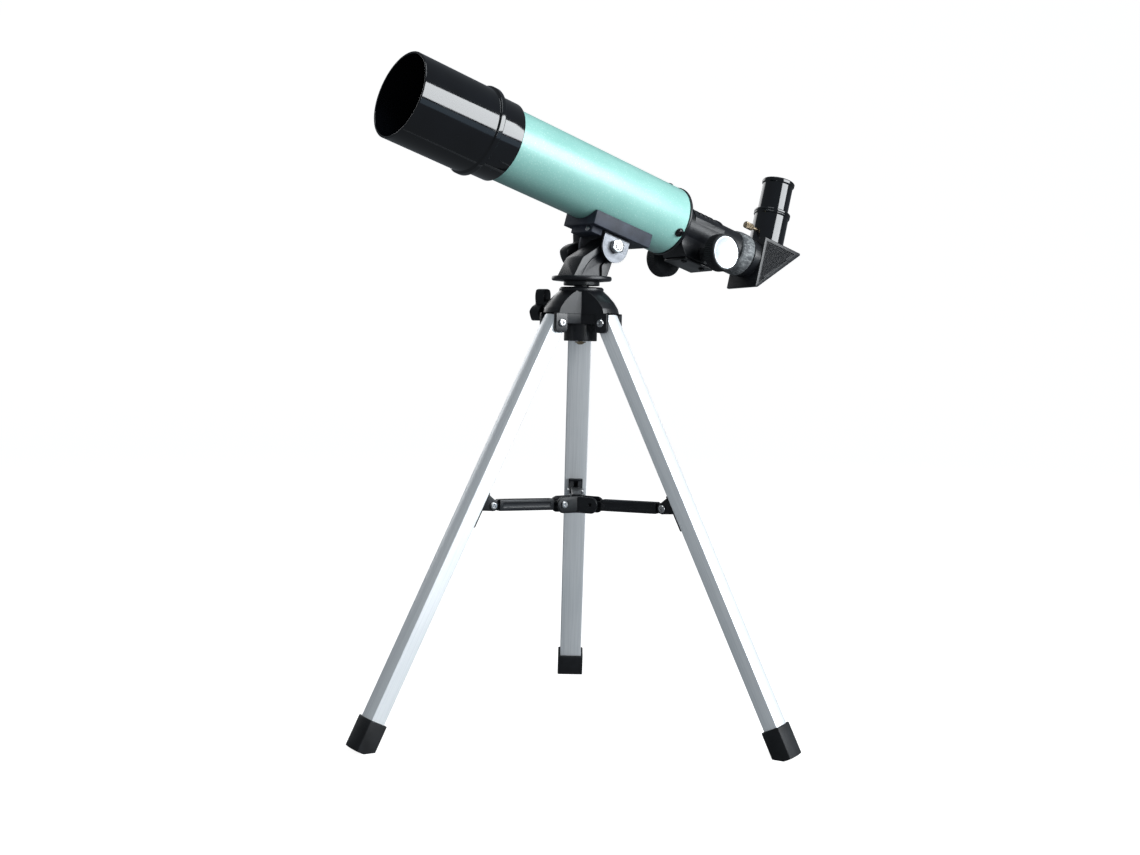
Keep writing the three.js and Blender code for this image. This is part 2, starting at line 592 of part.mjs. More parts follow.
function drawtubeCollar() {
  const [front, rear] = DRAW.collar;
  const r = DRAW.collarR;
  const bore = DRAW.r + GAP;
  const outline = [
    [front, bore], [front, r - 1.6], [front + 1.2, r - 0.6], [front + 5, r], [rear - 1.5, r], [rear, r - 1.5], [rear, bore],
  ];
  return piece('drawtube_collar', turned('x', outline, 28), 'scuffed');
}

function focusShaft() {
  const { s, h } = FOCUS_AXIS;
  const geometry = join(
    rod('y', 2.5, -38, 38, [s, 0, h], 10),
    rod('y', PINION.r, -5, 5, [s, 0, h], 10),
  );
  return piece('focus_shaft', geometry, 'steel');
}

function focusKnob(name, side) {
  const { r, face, inner, discR, hub } = KNOB;
  const body = turned('z', [
    [15, 0], [15, hub], [inner - 1, hub], [inner, r - 3], [inner + 1, r - 0.4], [inner + 2, r],
    [face - 0.8, r], [face, r - 0.8], [face, discR + 0.2], [face - 1.2, discR + 0.2], [face - 1.2, 0],
  ], 26);
  const geometry = cut(body, rod('z', 2.5 + GAP, 0, 38.4, [0, 0, 0], 10));
  const mesh = piece(name, geometry.rotateX(side * -90 * DEG), 'rubber');
  mesh.position.set(FOCUS_AXIS.s, 0, FOCUS_AXIS.h);
  return mesh;
}

function knobDisc(name, side) {
  const back = KNOB.face - 1.2 + GAP;
  const disc = turned('z', [[back, 0], [back, KNOB.discR - 0.2], [KNOB.face - 0.3, KNOB.discR - 0.2],
    [KNOB.face, KNOB.discR - 0.6], [KNOB.face, 0]], 26);
  const mesh = piece(name, disc.rotateX(side * -90 * DEG), 'silver');
  mesh.position.set(FOCUS_AXIS.s, 0, FOCUS_AXIS.h);
  return mesh;
}

// ---------------------------------------------------------------- diagonal and eyepiece
function diagonalHousing() {
  const { front, top, rear, bottom, half, nose, noseFront } = DIAGONAL;
  const side = [[front, top], [front, bottom], [front + 2.6, bottom], [rear, top - 1.9], [rear, top]];
  const wedge = plateXZ(side, -half, half);
  const collar = rod('x', 17.2, 181, front + 1, [0, 0, 0], 26);
  const barrel = rod('x', nose, noseFront, front + 1, [0, 0, 0], 26);
  const panel = [[front + 3, top - 3], [front + 3, bottom + 4.2], [rear - 7, top - 3]];
  const cuts = [
    plateXZ([[191.1, 15.9], [191.1, -16.5], [223.5, 15.9]], -13.9, 13.9),
    rod('x', nose - 1.1, 150, 193, [0, 0, 0], 22),
    rod('z', 11, 10, 30, [EYE_S, 0, 0], 22),
    plateXZ(panel, half - 0.9, half + 2),
    plateXZ(panel, -half - 2, -half + 0.9),
  ];
  return piece('diagonal_housing', cut(join(wedge, collar, barrel), ...cuts), 'satinBlack');
}

function diagonalPrism() {
  const corner = EYE_S - 15.5;
  return piece('diagonal_prism', plateXZ([[corner, 15.5], [corner, -15.5], [EYE_S + 15.5, 15.5]], -13.5, 13.5), 'glass');
}

function eyepieceHolder() {
  const { bottom, top, r, bead, bore } = HOLDER;
  const tube = turned('z', [
    [bottom, bore], [bottom, r], [top - 4.4, r], [top - 4, bead - 0.2], [top - 0.8, bead], [top, bead - 0.5], [top, bore],
  ], 28).translate(EYE_S, 0, 0);
  const hole = rod('x', 1.4 + GAP, -25, 0, [EYE_S, 0, THUMB.h], 8);
  return piece('eyepiece_holder', cut(tube, hole), 'glossBlack');
}

function eyepieceThumbscrew() {
  const geometry = join(
    rod('x', 1.4, -THUMB.head - 1, -THUMB.tip, [EYE_S, 0, THUMB.h], 8),
    rod('x', 3, -THUMB.end, -THUMB.head, [EYE_S, 0, THUMB.h], 16),
  );
  return piece('eyepiece_thumbscrew', geometry, 'brass');
}

function eyepieceBody() {
  const { bottom, shoulder, top, r, rim, barrel, hollow } = EYEPIECE;
  return piece('eyepiece_body', turned('z', [
    [bottom, hollow], [bottom, barrel], [shoulder, barrel], [shoulder, r], [top - 4.2, r], [top - 3.2, rim - 0.2],
    [top - 0.8, rim], [top, rim - 0.8], [top, 8.4], [top - 3.4, 7.4], [top - 3.4, hollow],
  ], 26).translate(EYE_S, 0, 0), 'glossBlack');
}

function eyepieceLens() {
  const seat = EYEPIECE.top - 3.4 - GAP;
  return piece('eyepiece_lens', turned('z', [
    [seat - 4.5, 0], [seat - 4.5, 10.2], [seat - 1.6, 10.2], [seat - 0.5, 6], [seat, 0],
  ], 18).translate(EYE_S, 0, 0), 'glass');
}

// ---------------------------------------------------------------- assembly
const optics = new THREE.Group();
optics.rotation.x = TUBE_ROLL * DEG;
optics.add(
  mainTube(), ...tubeScrews(), objectiveCell(), objectiveLens(), lensRetainingRing(), dewShield(),
  focuserBody(), pinionCover(), ...COVER_SCREWS.map(pinionCoverScrew), drawtube(), drawtubeCollar(),
  focusShaft(), focusKnob('focus_knob_left', -1), focusKnob('focus_knob_right', 1),
  knobDisc('knob_disc_left', -1), knobDisc('knob_disc_right', 1),
  diagonalHousing(), diagonalPrism(), eyepieceHolder(), eyepieceThumbscrew(), eyepieceBody(), eyepieceLens(),
);

const telescope = new THREE.Group();
telescope.position.z = AXIS_Z;
telescope.rotation.y = ELEVATION * DEG;
telescope.add(tiltBracket(), tubeSaddle(), saddleScrew(), tiltBolt(), tiltNut(), tiltClampKnob(), optics);

const head = new THREE.Group();
head.rotation.z = REAR_AZIMUTH * DEG;
head.add(panHead(), panPivotScrew(), telescope);

const model = new THREE.Group();
model.add(tripodHub(), panLockKnob(), spreaderSpider(), ...LEG_AZIMUTHS.map(legAssembly), head);

const bounds = new THREE.Box3().setFromObject(model, true);
const centre = bounds.getCenter(new THREE.Vector3());
model.position.set(-centre.x, -centre.y, -bounds.min.z);

const group = new THREE.Group();
group.add(model);

export default group;
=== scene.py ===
# Fine visual model of a 50 mm beginner's refractor telescope on its folding table-top tripod.
import json
import math

import bmesh
import bpy
from mathutils import Matrix, Vector

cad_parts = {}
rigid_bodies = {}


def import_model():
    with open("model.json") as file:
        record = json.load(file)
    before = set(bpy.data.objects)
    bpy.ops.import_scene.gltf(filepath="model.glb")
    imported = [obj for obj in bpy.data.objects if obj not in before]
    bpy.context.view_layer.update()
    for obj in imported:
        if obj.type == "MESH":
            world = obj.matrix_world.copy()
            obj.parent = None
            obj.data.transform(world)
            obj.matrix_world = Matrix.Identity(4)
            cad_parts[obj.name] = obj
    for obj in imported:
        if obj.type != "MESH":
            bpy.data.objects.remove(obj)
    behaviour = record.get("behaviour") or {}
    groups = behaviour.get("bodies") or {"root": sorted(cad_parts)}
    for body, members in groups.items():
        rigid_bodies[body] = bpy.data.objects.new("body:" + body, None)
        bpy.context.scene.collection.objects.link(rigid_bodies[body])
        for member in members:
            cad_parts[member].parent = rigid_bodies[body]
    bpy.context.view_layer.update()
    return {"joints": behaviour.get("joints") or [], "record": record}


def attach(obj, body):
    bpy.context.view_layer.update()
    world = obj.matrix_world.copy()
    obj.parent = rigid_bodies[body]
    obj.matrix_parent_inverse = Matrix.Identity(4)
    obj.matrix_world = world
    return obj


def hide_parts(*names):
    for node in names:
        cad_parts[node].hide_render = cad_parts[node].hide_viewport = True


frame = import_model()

MM = 0.001

# ------------------------------------------------------------------ driving dimensions, mm
GAP = 0.3
HINGE = (25.0, 323.7)                # leg hinge: from the tripod's axis, above the floor
FOOT_R = 186.0                       # where a leg's centre line meets the floor
LEG = dict(inner=-6.0, outer=5.3, crown=7.7, half=9.5, wall=1.2, top=4.0, bottom=-355.2)
CAP = dict(inner=-8.0, outer=6.7, crown=9.1, half=11.4, top=-337.0, bottom=-362.0, floor=-355.5)
HUB = dict(rim=30.7, rim_z=331.0, skirt_z=323.0, arm_half=13.2, slot_half=10.0, slot_r=9.1, cheek_z=316.0)
POST = dict(r=13.2, z=309.5, floor_z=312.5, bore=6.4, top_z=352.3)
LOCK = dict(azimuth=150.0, z=336.0, inner=7.2, collar=22.0, face=31.0, back=39.8, lobe=15.0)
OUTER_PIVOT = (78.5, 180.7)
INNER_PIVOT = (15.6, 179.3)
ELEVATION = 16.12                    # how far the front is tilted up
AXIS_Z = 436.1                       # tube axis above the tripod's axis
TILT = (34.5, -43.0)                 # tilt pivot, along and square to the tube
EAR = dict(inner=14.3, outer=15.8, half=13.0, top=-34.3, web=-36.0)
SADDLE = dict(front=5.5, rear=65.0, half=20.0, top=-22.5, bottom=-34.0, block=(9.5, 20.0), screw=(-8.5, -36.4))
TUBE_R = 28.5
TUBE = dict(front=-98.0, rear=91.0, wall=1.0)
SHIELD = dict(front=-177.0, rear=-105.3, r=33.45, inner=31.8, bead=35.1, bead_front=-109.5)
CELL = dict(front=-112.0, step=-105.0, rear=-84.4, r=31.3, spigot=31.5, seat=25.4, lip=23.8)
FOCUSER = dict(r=17.0, rear=165.0, bore=14.6, bottom=-26.0, half=14.0)
TUBE_SCREW = dict(s=86.8, low=29.4, head=3.75, shank=1.5)
FOCUS_AXIS = (126.4, -18.7)
PINION = dict(r=3.0, pocket=3.6)
DRAW = dict(r=14.2, inner=12.9, front=100.0, rear=178.0, rack=-15.3, collar=(166.0, 180.0), collar_r=18.6)
KNOB = dict(r=15.5, face=41.8, inner=29.5, disc=13.65, hub=6.0)
DIAGONAL = dict(front=188.0, top=18.5, rear=232.5, bottom=-26.0, half=18.0, nose=12.5, nose_front=158.0)
EYE_S = 206.6                        # eyepiece axis along the tube
HOLDER = dict(bottom=18.8, top=49.0, r=15.0, bead=16.0, bore=12.5)
EYEPIECE = dict(bottom=24.0, shoulder=49.4, top=77.6, r=13.25, rim=14.4, barrel=12.1, hollow=10.6)
THUMB = dict(h=28.0, tip=12.7, head=20.0, end=28.7)


# ------------------------------------------------------------------ frames
def columns(x, y, z, origin):
    """Matrix that takes millimetres along x, y and z from origin to metres in the row frame."""
    matrix = Matrix((x, y, z)).transposed().to_4x4() * MM
    matrix.translation = origin
    matrix[3][3] = 1.0
    return matrix


JOINTS = {joint["name"]: joint for joint in frame["joints"]}


def axis_of(joint):
    return Vector(JOINTS[joint]["axis"]).normalized()


def place_of(joint):
    return Vector(JOINTS[joint]["pos_m"])


UP = Vector((0, 0, 1))
TRIPOD_AXIS = place_of("pan_turn") * 1.0
TRIPOD_AXIS.z = 0.0
TRIPOD = columns(Vector((1, 0, 0)), Vector((0, 1, 0)), UP, TRIPOD_AXIS)


def cradle_frame():
    rear, near = axis_of("focus_travel"), axis_of("tilt")
    up = near.cross(rear)
    origin = place_of("tilt") - (rear * TILT[0] + up * TILT[1]) * MM
    return columns(rear, -near, up, origin)


def tube_frame():
    """The tube's own frame: it is turned a little about its axis in the cradle."""
    rear, far = axis_of("focus_travel"), axis_of("focus_knob_turn")
    return columns(rear, far, rear.cross(far), cradle_frame().translation)


def head_frame():
    near = axis_of("tilt")
    return columns(near.cross(UP) * -1, -near, UP, TRIPOD_AXIS)


def radial_frame(number):
    tangent = axis_of(f"leg_fold_{number}")
    return columns(tangent.cross(UP), tangent, UP, TRIPOD_AXIS)


LEG_SLOPE = math.atan((FOOT_R - HINGE[0]) / HINGE[1])


def leg_frame(number):
    tilt = Matrix.Translation((HINGE[0], 0, HINGE[1])) @ Matrix.Rotation(-LEG_SLOPE, 4, "Y")
    return radial_frame(number) @ tilt


CRADLE_FRAME = cradle_frame()
TUBE_FRAME = tube_frame()
HEAD_FRAME = head_frame()


# ------------------------------------------------------------------ outlines
def rounded(outline, steps=5):
    """The outline with each corner that has a third value rounded to that radius."""
    result = []
    count = len(outline)
    for index, corner in enumerate(outline):
        point = Vector(corner[:2])
        if len(corner) < 3:
            result.append(point)
            continue
        back = Vector(outline[index - 1][:2]) - point
        ahead = Vector(outline[(index + 1) % count][:2]) - point
        half = back.angle(ahead) / 2
        reach = min(corner[2] / math.tan(half), back.length * 0.49, ahead.length * 0.49)
        radius = reach * math.tan(half)
        back.normalize()
        ahead.normalize()
        centre = point + (back + ahead).normalized() * (radius / math.sin(half))
        start = point + back * reach - centre
        sweep = start.angle_signed(point + ahead * reach - centre)
        for step in range(steps + 1):
            turned_by = Matrix.Rotation(-sweep * step / steps, 2)
            result.append(centre + turned_by @ start)
    return result


def arc(cx, cy, radius, start, end, steps=16):
    angles = [math.radians(start + (end - start) * k / steps) for k in range(steps + 1)]
    return [(cx + radius * math.cos(a), cy + radius * math.sin(a)) for a in angles]


def leg_section(inner, outer, crown, half, corner):
    """Flat-backed section with a crowned outer face."""
    face = []
    steps = 14
    for k in range(1, steps):
        across = -1 + 2 * k / steps
        face.append((outer + (crown - outer) * (1 - across * across), half * across))
    return [(inner, -half, corner), (outer, -half, corner * 0.6), *face, (outer, half, corner * 0.6),
            (inner, half, corner)]


# ------------------------------------------------------------------ solids
def finished(bm):
    bmesh.ops.recalc_face_normals(bm, faces=bm.faces)
    mesh = bpy.data.meshes.new("solid")
    bm.to_mesh(mesh)
    bm.free()
    return mesh


def soften(bm, width, segments=3):
    """Rounds every sharp edge."""
    limit = math.radians(30)
    edges = [e for e in bm.edges if len(e.link_faces) == 2 and e.calc_face_angle(0) > limit]
    bmesh.ops.bevel(bm, geom=edges, offset=width, segments=segments, profile=0.5, affect="EDGES",
                    clamp_overlap=True)


AXES = {
    "x": Matrix.Identity(4),
    "y": Matrix(((0, 0, 1, 0), (1, 0, 0, 0), (0, 1, 0, 0), (0, 0, 0, 1))),
    "z": Matrix(((0, 1, 0, 0), (0, 0, 1, 0), (1, 0, 0, 0), (0, 0, 0, 1))),
}


def turned(axis, outline, sides=96, at=(0, 0, 0), ribs=None):
    """A closed (along, radius) outline turned about an axis through at.
    ribs is (count, depth, low, high): rounded ribs between those places along the axis."""
    points = rounded(outline)
    bm = bmesh.new()
    rings = []
    if ribs:
        sides = ribs[0] * 6
    for along, radius in points:
        if radius < 1e-6:
            rings.append([bm.verts.new((along, 0, 0))])
            continue
        ring = []
        for k in range(sides):
            angle = 2 * math.pi * k / sides
            reach = radius
            if ribs and ribs[2] <= along <= ribs[3]:
                reach -= ribs[1] * abs(math.sin(ribs[0] * angle / 2)) ** 3
            ring.append(bm.verts.new((along, reach * math.cos(angle), reach * math.sin(angle))))
        rings.append(ring)
    pairs = list(zip(rings, rings[1:]))
    if len(rings[0]) > 1:
        pairs.append((rings[-1], rings[0]))
    for first, second in pairs:
        for k in range(sides):
            after = (k + 1) % sides
            corners = [first[k % len(first)], first[after % len(first)],
                       second[after % len(second)], second[k % len(second)]]
            kept = list(dict.fromkeys(corners))
            if len(kept) > 2:
                bm.faces.new(kept)
    bm.transform(Matrix.Translation(at) @ AXES[axis])
    return finished(bm)


def rod(axis, radius, start, end, at=(0, 0, 0), edge=0.0, sides=48):
    corner = (edge,) if edge else ()
    return turned(axis, [(start, 0), (start, radius, *corner), (end, radius, *corner), (end, 0)], sides, at)


SPREAD = {
    "x": lambda a, b, c: (c, a, b),
    "y": lambda a, b, c: (a, c, b),
    "z": lambda a, b, c: (a, b, c),
}


def prism(outline, low, high, edge=0.0, along="y", segments=3):
    """An outline in the other two axes, extruded along x, y or z."""
    bm = bmesh.new()
    spread = SPREAD[along]
    points = rounded(outline)
    ends = [[bm.verts.new(spread(a, b, c)) for a, b in points] for c in (low, high)]
    for end in ends:
        bm.faces.new(end)
    for k in range(len(points)):
        after = (k + 1) % len(points)
        bm.faces.new((ends[0][k], ends[0][after], ends[1][after], ends[1][k]))
    bmesh.ops.recalc_face_normals(bm, faces=bm.faces)
    if edge:
        soften(bm, edge, segments)
    return finished(bm)


def block(x, y, z, edge=0.0):
    outline = [(x[0], z[0]), (x[1], z[0]), (x[1], z[1]), (x[0], z[1])]
    return prism(outline, y[0], y[1], edge)


def moved(mesh, matrix):
    mesh.transform(matrix)
    return mesh


def spun(mesh, degrees, axis="Z"):
    return moved(mesh, Matrix.Rotation(math.radians(degrees), 4, axis))


def combined(operation, first, others):
    host = bpy.data.objects.new("host", first)
    bpy.context.scene.collection.objects.link(host)
    tools = bpy.data.collections.new("tools")
    bpy.context.scene.collection.children.link(tools)
    for mesh in others:
        tools.objects.link(bpy.data.objects.new("tool", mesh))
    modifier = host.modifiers.new("combine", "BOOLEAN")
    modifier.operation = operation
    modifier.operand_type = "COLLECTION"
    modifier.collection = tools
    modifier.solver = "EXACT"
    graph = bpy.context.evaluated_depsgraph_get()
    result = bpy.data.meshes.new_from_object(host.evaluated_get(graph))
    for tool in list(tools.objects):
        bpy.data.objects.remove(tool)
    bpy.data.collections.remove(tools)
    bpy.data.objects.remove(host)
    return result


def join(first, *others):
    return combined("UNION", first, others)


def cut(first, *others):
    return combined("DIFFERENCE", first, others)


def common(first, second):
    return combined("INTERSECT", first, [second])


def lobed_knob(lobe, low, high, edge):
    """Three broad lobes with hollow flanks."""
    outline = []
    steps = 96
    for k in range(steps):
        angle = 2 * math.pi * k / steps
        radius = min(lobe, lobe * (0.76 + 0.36 * math.cos(3 * angle)))
        outline.append((radius * math.cos(angle), radius * math.sin(angle)))
    return prism(outline, low, high, edge, "z", 4)


def cross_recess(axis, size, start, end, at):
    """Two crossed blades that cut a Phillips recess."""
    thick = size * 0.22
    blades = [((-size, size), (-thick, thick)), ((-thick, thick), (-size, size))]
    cutters = []
    for wide, thin in blades:
        cutter = block((start, end), wide, thin)
        cutters.append(moved(cutter, Matrix.Translation(at) @ AXES[axis]))
    return cutters


def screw_head(axis, radius, base, top, at, dome=0.5):
    """A pan head with a cross recess, from base to top along an axis."""
    rise = top - base
    outline = [(base, 0), (base, radius), (base + rise * (1 - dome), radius, abs(rise) * 0.3),
               (top, radius * 0.55, radius * 0.5), (top, 0)]
    head = turned(axis, outline, 48, at)
    low, high = sorted((top - rise * 0.6, top + rise))
    return cut(head, *cross_recess(axis, radius * 0.5, low, high, at))


# ------------------------------------------------------------------ placing
RECORD = frame["record"]
BODY_OF = {node: body for body, nodes in RECORD["behaviour"]["bodies"].items() for node in nodes}
SLOT_OF = {row["node"]: row["material_slot"] for row in RECORD["subparts"]}
MATERIALS = {}


def place(node, mesh, matrix, name=None, slot=None, crease=35, covers=True):
    """Puts a mesh, made in millimetres in a local frame, where its CAD node is."""
    local = mesh.attributes.new("local", "FLOAT_VECTOR", "POINT")
    coordinates = [value * MM for vertex in mesh.vertices for value in vertex.co]
    local.data.foreach_set("vector", coordinates)
    mesh.transform(matrix)
    mesh.shade_smooth()
    mesh.set_sharp_from_angle(angle=math.radians(crease))
    piece = bpy.data.objects.new(name or f"{node}_fine", mesh)
    bpy.context.scene.collection.objects.link(piece)
    slot = slot or SLOT_OF[node]
    mesh.materials.clear()
    mesh.materials.append(MATERIALS[slot])
    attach(piece, BODY_OF[node])
    if covers:
        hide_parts(node)
    return piece


# ------------------------------------------------------------------ finishes
def srgb(red, green, blue):
    """Linear colour from display values of 0 to 255."""
    channels = [((value / 255 + 0.055) / 1.055) ** 2.4 for value in (red, green, blue)]
    return (*channels, 1.0)


class Finish:
    """A Principled material whose patterns are placed by each piece's own local coordinates."""

    def __init__(self, name, base, roughness, **sockets):
        self.material = bpy.data.materials.new(name)
        self.material.use_nodes = True
        self.tree = self.material.node_tree
        self.tree.nodes.clear()
        output = self.node("ShaderNodeOutputMaterial")
        self.shader = self.node("ShaderNodeBsdfPrincipled")
        self.tree.links.new(self.shader.outputs["BSDF"], output.inputs["Surface"])
        self.set(self.shader, base_color=base, roughness=roughness, **sockets)
        self.local = self.node("ShaderNodeAttribute", attribute_name="local").outputs["Vector"]
        self.normal = None

    def node(self, kind, **settings):
        made = self.tree.nodes.new(kind)
        for key, value in settings.items():
            setattr(made, key, value)
        return made

    def set(self, node, **sockets):
        """Sets or links inputs, named as in Blender but lower case with underscores."""
        names = {socket.name.lower().replace(" ", "_"): socket for socket in reversed(node.inputs)}
        for key, value in sockets.items():
            if isinstance(value, bpy.types.NodeSocket):
                self.tree.links.new(value, names[key])
            else:
                names[key].default_value = value
        return node

    def stretched(self, scale, offset=(0, 0, 0)):
        mapping = self.node("ShaderNodeMapping")
        self.set(mapping, vector=self.local, scale=scale, location=offset)
        return mapping.outputs["Vector"]

    def noise(self, scale, detail=3.0, roughness=0.55, stretch=None, offset=(0, 0, 0), distortion=0.0):
        vector = self.stretched(stretch or (1, 1, 1), offset)
        made = self.node("ShaderNodeTexNoise")
        self.set(made, vector=vector, scale=scale, detail=detail, roughness=roughness, distortion=distortion)
        return made.outputs["Fac"]

    def cells(self, scale, stretch=None):
        """One random value for each small cell."""
        made = self.node("ShaderNodeTexVoronoi")
        self.set(made, vector=self.stretched(stretch or (1, 1, 1)), scale=scale)
        return made.outputs["Color"]

    def remap(self, value, from_min, from_max, to_min=0.0, to_max=1.0):
        made = self.node("ShaderNodeMapRange")
        self.set(made, value=value, from_min=from_min, from_max=from_max, to_min=to_min, to_max=to_max)
        return made.outputs["Result"]

    def maths(self, operation, *values):
        made = self.node("ShaderNodeMath", operation=operation)
        for socket, value in zip(made.inputs, values):
            if isinstance(value, bpy.types.NodeSocket):
                self.tree.links.new(value, socket)
            else:
                socket.default_value = value
        return made.outputs[0]

    def mix(self, share, first, second):
        made = self.node("ShaderNodeMix", data_type="RGBA")
        sockets = [made.inputs["Factor"], made.inputs[6], made.inputs[7]]
        for socket, value in zip(sockets, (share, first, second)):
            if isinstance(value, bpy.types.NodeSocket):
                self.tree.links.new(value, socket)
            else:
                socket.default_value = value
        return made.outputs[2]

    def colour(self, value):
        self.set(self.shader, base_color=value)

    def roughness(self, value):
        self.set(self.shader, roughness=value)

    def rounded_edges(self, radius):
        """Shades sharp edges as if they had this small radius."""
        bevel = self.node("ShaderNodeBevel", samples=4)
        self.set(bevel, radius=radius)
        self.normal = bevel.outputs["Normal"]

    def bump(self, height, depth, strength=1.0):
        """height from 0 to 1 stands for depth metres."""
        made = self.node("ShaderNodeBump")
        self.set(made, height=height, distance=depth, strength=strength)
        if self.normal:
            self.set(made, normal=self.normal)
        self.normal = made.outputs["Normal"]

    def edges(self, radius, low=0.75, high=0.98):
        """1 on convex and concave edges, 0 on open faces."""
        bevel = self.node("ShaderNodeBevel", samples=6)
        self.set(bevel, radius=radius)
        geometry = self.node("ShaderNodeNewGeometry")
        dot = self.node("ShaderNodeVectorMath", operation="DOT_PRODUCT")
        self.tree.links.new(bevel.outputs["Normal"], dot.inputs[0])
        self.tree.links.new(geometry.outputs["Normal"], dot.inputs[1])
        return self.remap(dot.outputs["Value"], low, high, 1.0, 0.0)

    def done(self):
        if self.normal:
            self.set(self.shader, normal=self.normal)
        return self.material


def moulded(name, dark, light, rough, grain, grain_depth, **sockets):
    """Moulded plastic: slow shade changes, a fine spark-eroded grain and a few handling marks."""
    made = Finish(name, dark, rough[0], **sockets)
    clouds = made.noise(60, 3)
    made.colour(made.mix(made.remap(clouds, 0.35, 0.7), dark, light))
    fine = made.noise(grain, 2)
    rubbed = made.noise(25, 4, 0.6, offset=(0.3, 0.1, 0.7))
    made.roughness(made.remap(made.maths("ADD", fine, rubbed), 0.75, 1.25, *rough))
    made.rounded_edges(0.0004)
    made.bump(fine, grain_depth)
    scratches = made.noise(900, 2, 0.5, (1.0, 0.05, 0.3), distortion=0.4)
    made.bump(made.remap(scratches, 0.62, 0.8), 0.000006)
    return made.done()


def satin_black():
    return moulded("satin_black", srgb(13, 14, 17), srgb(22, 24, 28), (0.26, 0.4), 1900, 0.00001,
                   specular_ior_level=0.5)


def gloss_black():
    made = Finish("gloss_black", srgb(8, 9, 12), 0.1, specular_ior_level=0.75)
    clouds = made.noise(35, 3)
    made.colour(made.mix(made.remap(clouds, 0.35, 0.7), srgb(6, 7, 10), srgb(11, 13, 17)))
    wiped = made.noise(120, 4, 0.6, (0.25, 1, 1))
    made.roughness(made.remap(wiped, 0.3, 0.75, 0.05, 0.12))
    made.rounded_edges(0.00035)
    made.bump(made.noise(160, 2), 0.000012)
    hairs = made.noise(1500, 1, 0.5, (0.04, 1, 1), distortion=0.3)
    made.bump(made.remap(hairs, 0.66, 0.78), 0.000002)
    return made.done()


def teal_paint():
    made = Finish("teal_paint", srgb(136, 192, 186), 0.4, metallic=0.08, coat_weight=0.5, coat_roughness=0.28)
    flakes = made.cells(5200)
    clouds = made.noise(28, 3)
    shade = made.mix(made.remap(clouds, 0.3, 0.7), srgb(122, 176, 168), srgb(134, 186, 178))
    # Painted glints: a few flake cells are mixed towards near white in the base colour, so they shine the same under
    # any lamp.
    painted_glints = made.maths("MULTIPLY", made.remap(made.cells(1500), 0.75, 1.0), 0.35)
    flecked = made.mix(made.remap(flakes, 0.2, 1.0, 0.0, 0.35), shade, srgb(168, 216, 208))
    made.colour(made.mix(painted_glints, flecked, srgb(225, 244, 240)))
    made.roughness(made.remap(made.noise(900, 3), 0.3, 0.7, 0.36, 0.48))
    made.rounded_edges(0.0003)
    made.bump(flakes, 0.000009)
    made.bump(made.noise(320, 2), 0.000012)
    return made.done()


def leg_aluminium():
    made = Finish("leg_aluminium", srgb(232, 236, 239), 0.4, metallic=0.4)
    drawn = made.noise(1400, 3, 0.6, (1, 1, 0.012))
    clouds = made.noise(30, 3, 0.5, (1, 1, 0.3))
    shade = made.mix(made.remap(clouds, 0.3, 0.7), srgb(228, 233, 236), srgb(240, 243, 245))
    made.colour(made.mix(made.remap(drawn, 0.45, 0.75, 0.0, 0.35), shade, srgb(188, 193, 198)))
    made.roughness(made.remap(drawn, 0.3, 0.7, 0.34, 0.48))
    made.rounded_edges(0.0005)
    made.bump(drawn, 0.000008)
    made.bump(made.noise(2600, 2), 0.000004)
    return made.done()


def black_rubber():
    return moulded("black_rubber", srgb(17, 18, 20), srgb(30, 32, 35), (0.48, 0.68), 1500, 0.00002,
                   specular_ior_level=0.35)


def slate_plastic():
    made = Finish("slate_plastic", srgb(38, 43, 54), 0.6, specular_ior_level=0.4)
    clouds = made.noise(90, 4, 0.6)
    shade = made.mix(made.remap(clouds, 0.3, 0.7), srgb(33, 37, 47), srgb(50, 56, 69))
    worn = made.maths("MULTIPLY", made.edges(0.0006), made.remap(made.noise(700, 3, 0.7), 0.5, 0.62))
    made.colour(made.mix(worn, shade, srgb(150, 154, 160)))
    made.roughness(made.remap(made.noise(1300, 2), 0.3, 0.7, 0.5, 0.68))
    made.rounded_edges(0.0004)
    made.bump(made.noise(1700, 3), 0.00002)
    return made.done()


def zinc_sheet():
    made = Finish("zinc_sheet", srgb(150, 153, 158), 0.42, metallic=0.75)
    rolled = made.noise(700, 3, 0.6, (0.05, 1, 1))
    spots = made.noise(220, 4, 0.65)
    made.colour(made.mix(made.remap(spots, 0.35, 0.7), srgb(126, 129, 134), srgb(104, 107, 113)))
    made.roughness(made.remap(rolled, 0.3, 0.7, 0.36, 0.52))
    made.rounded_edges(0.0004)
    made.bump(rolled, 0.000008)
    return made.done()


def bright_screws():
    made = Finish("bright_screws", srgb(214, 215, 217), 0.25, metallic=1.0)
    turned_marks = made.noise(2600, 2, 0.5, (1, 0.15, 1))
    stains = made.noise(500, 3, 0.6)
    made.colour(made.mix(made.remap(stains, 0.4, 0.7), srgb(222, 223, 225), srgb(172, 170, 166)))
    made.roughness(made.remap(stains, 0.3, 0.7, 0.18, 0.36))
    made.rounded_edges(0.0002)
    made.bump(turned_marks, 0.000006)
    return made.done()


def black_screws():
    made = Finish("black_screws", srgb(16, 16, 18), 0.22, metallic=0.3)
    stains = made.noise(900, 3, 0.6)
    made.colour(made.mix(made.remap(stains, 0.4, 0.7), srgb(13, 13, 15), srgb(32, 32, 34)))
    made.roughness(made.remap(stains, 0.3, 0.7, 0.16, 0.32))
    made.rounded_edges(0.0002)
    made.bump(made.noise(2400, 2), 0.000006)
    return made.done()


def silver_disc():
    made = Finish("silver_disc", srgb(232, 238, 242), 0.3, metallic=0.5)
    spread = made.noise(70, 4, 0.6)
    fine = made.noise(2400, 3, 0.6)
    made.colour(made.mix(made.remap(spread, 0.35, 0.7), srgb(240, 244, 247), srgb(212, 223, 231)))
    made.roughness(made.remap(fine, 0.3, 0.7, 0.24, 0.4))
    made.rounded_edges(0.0003)
    made.bump(fine, 0.00001)
    return made.done()


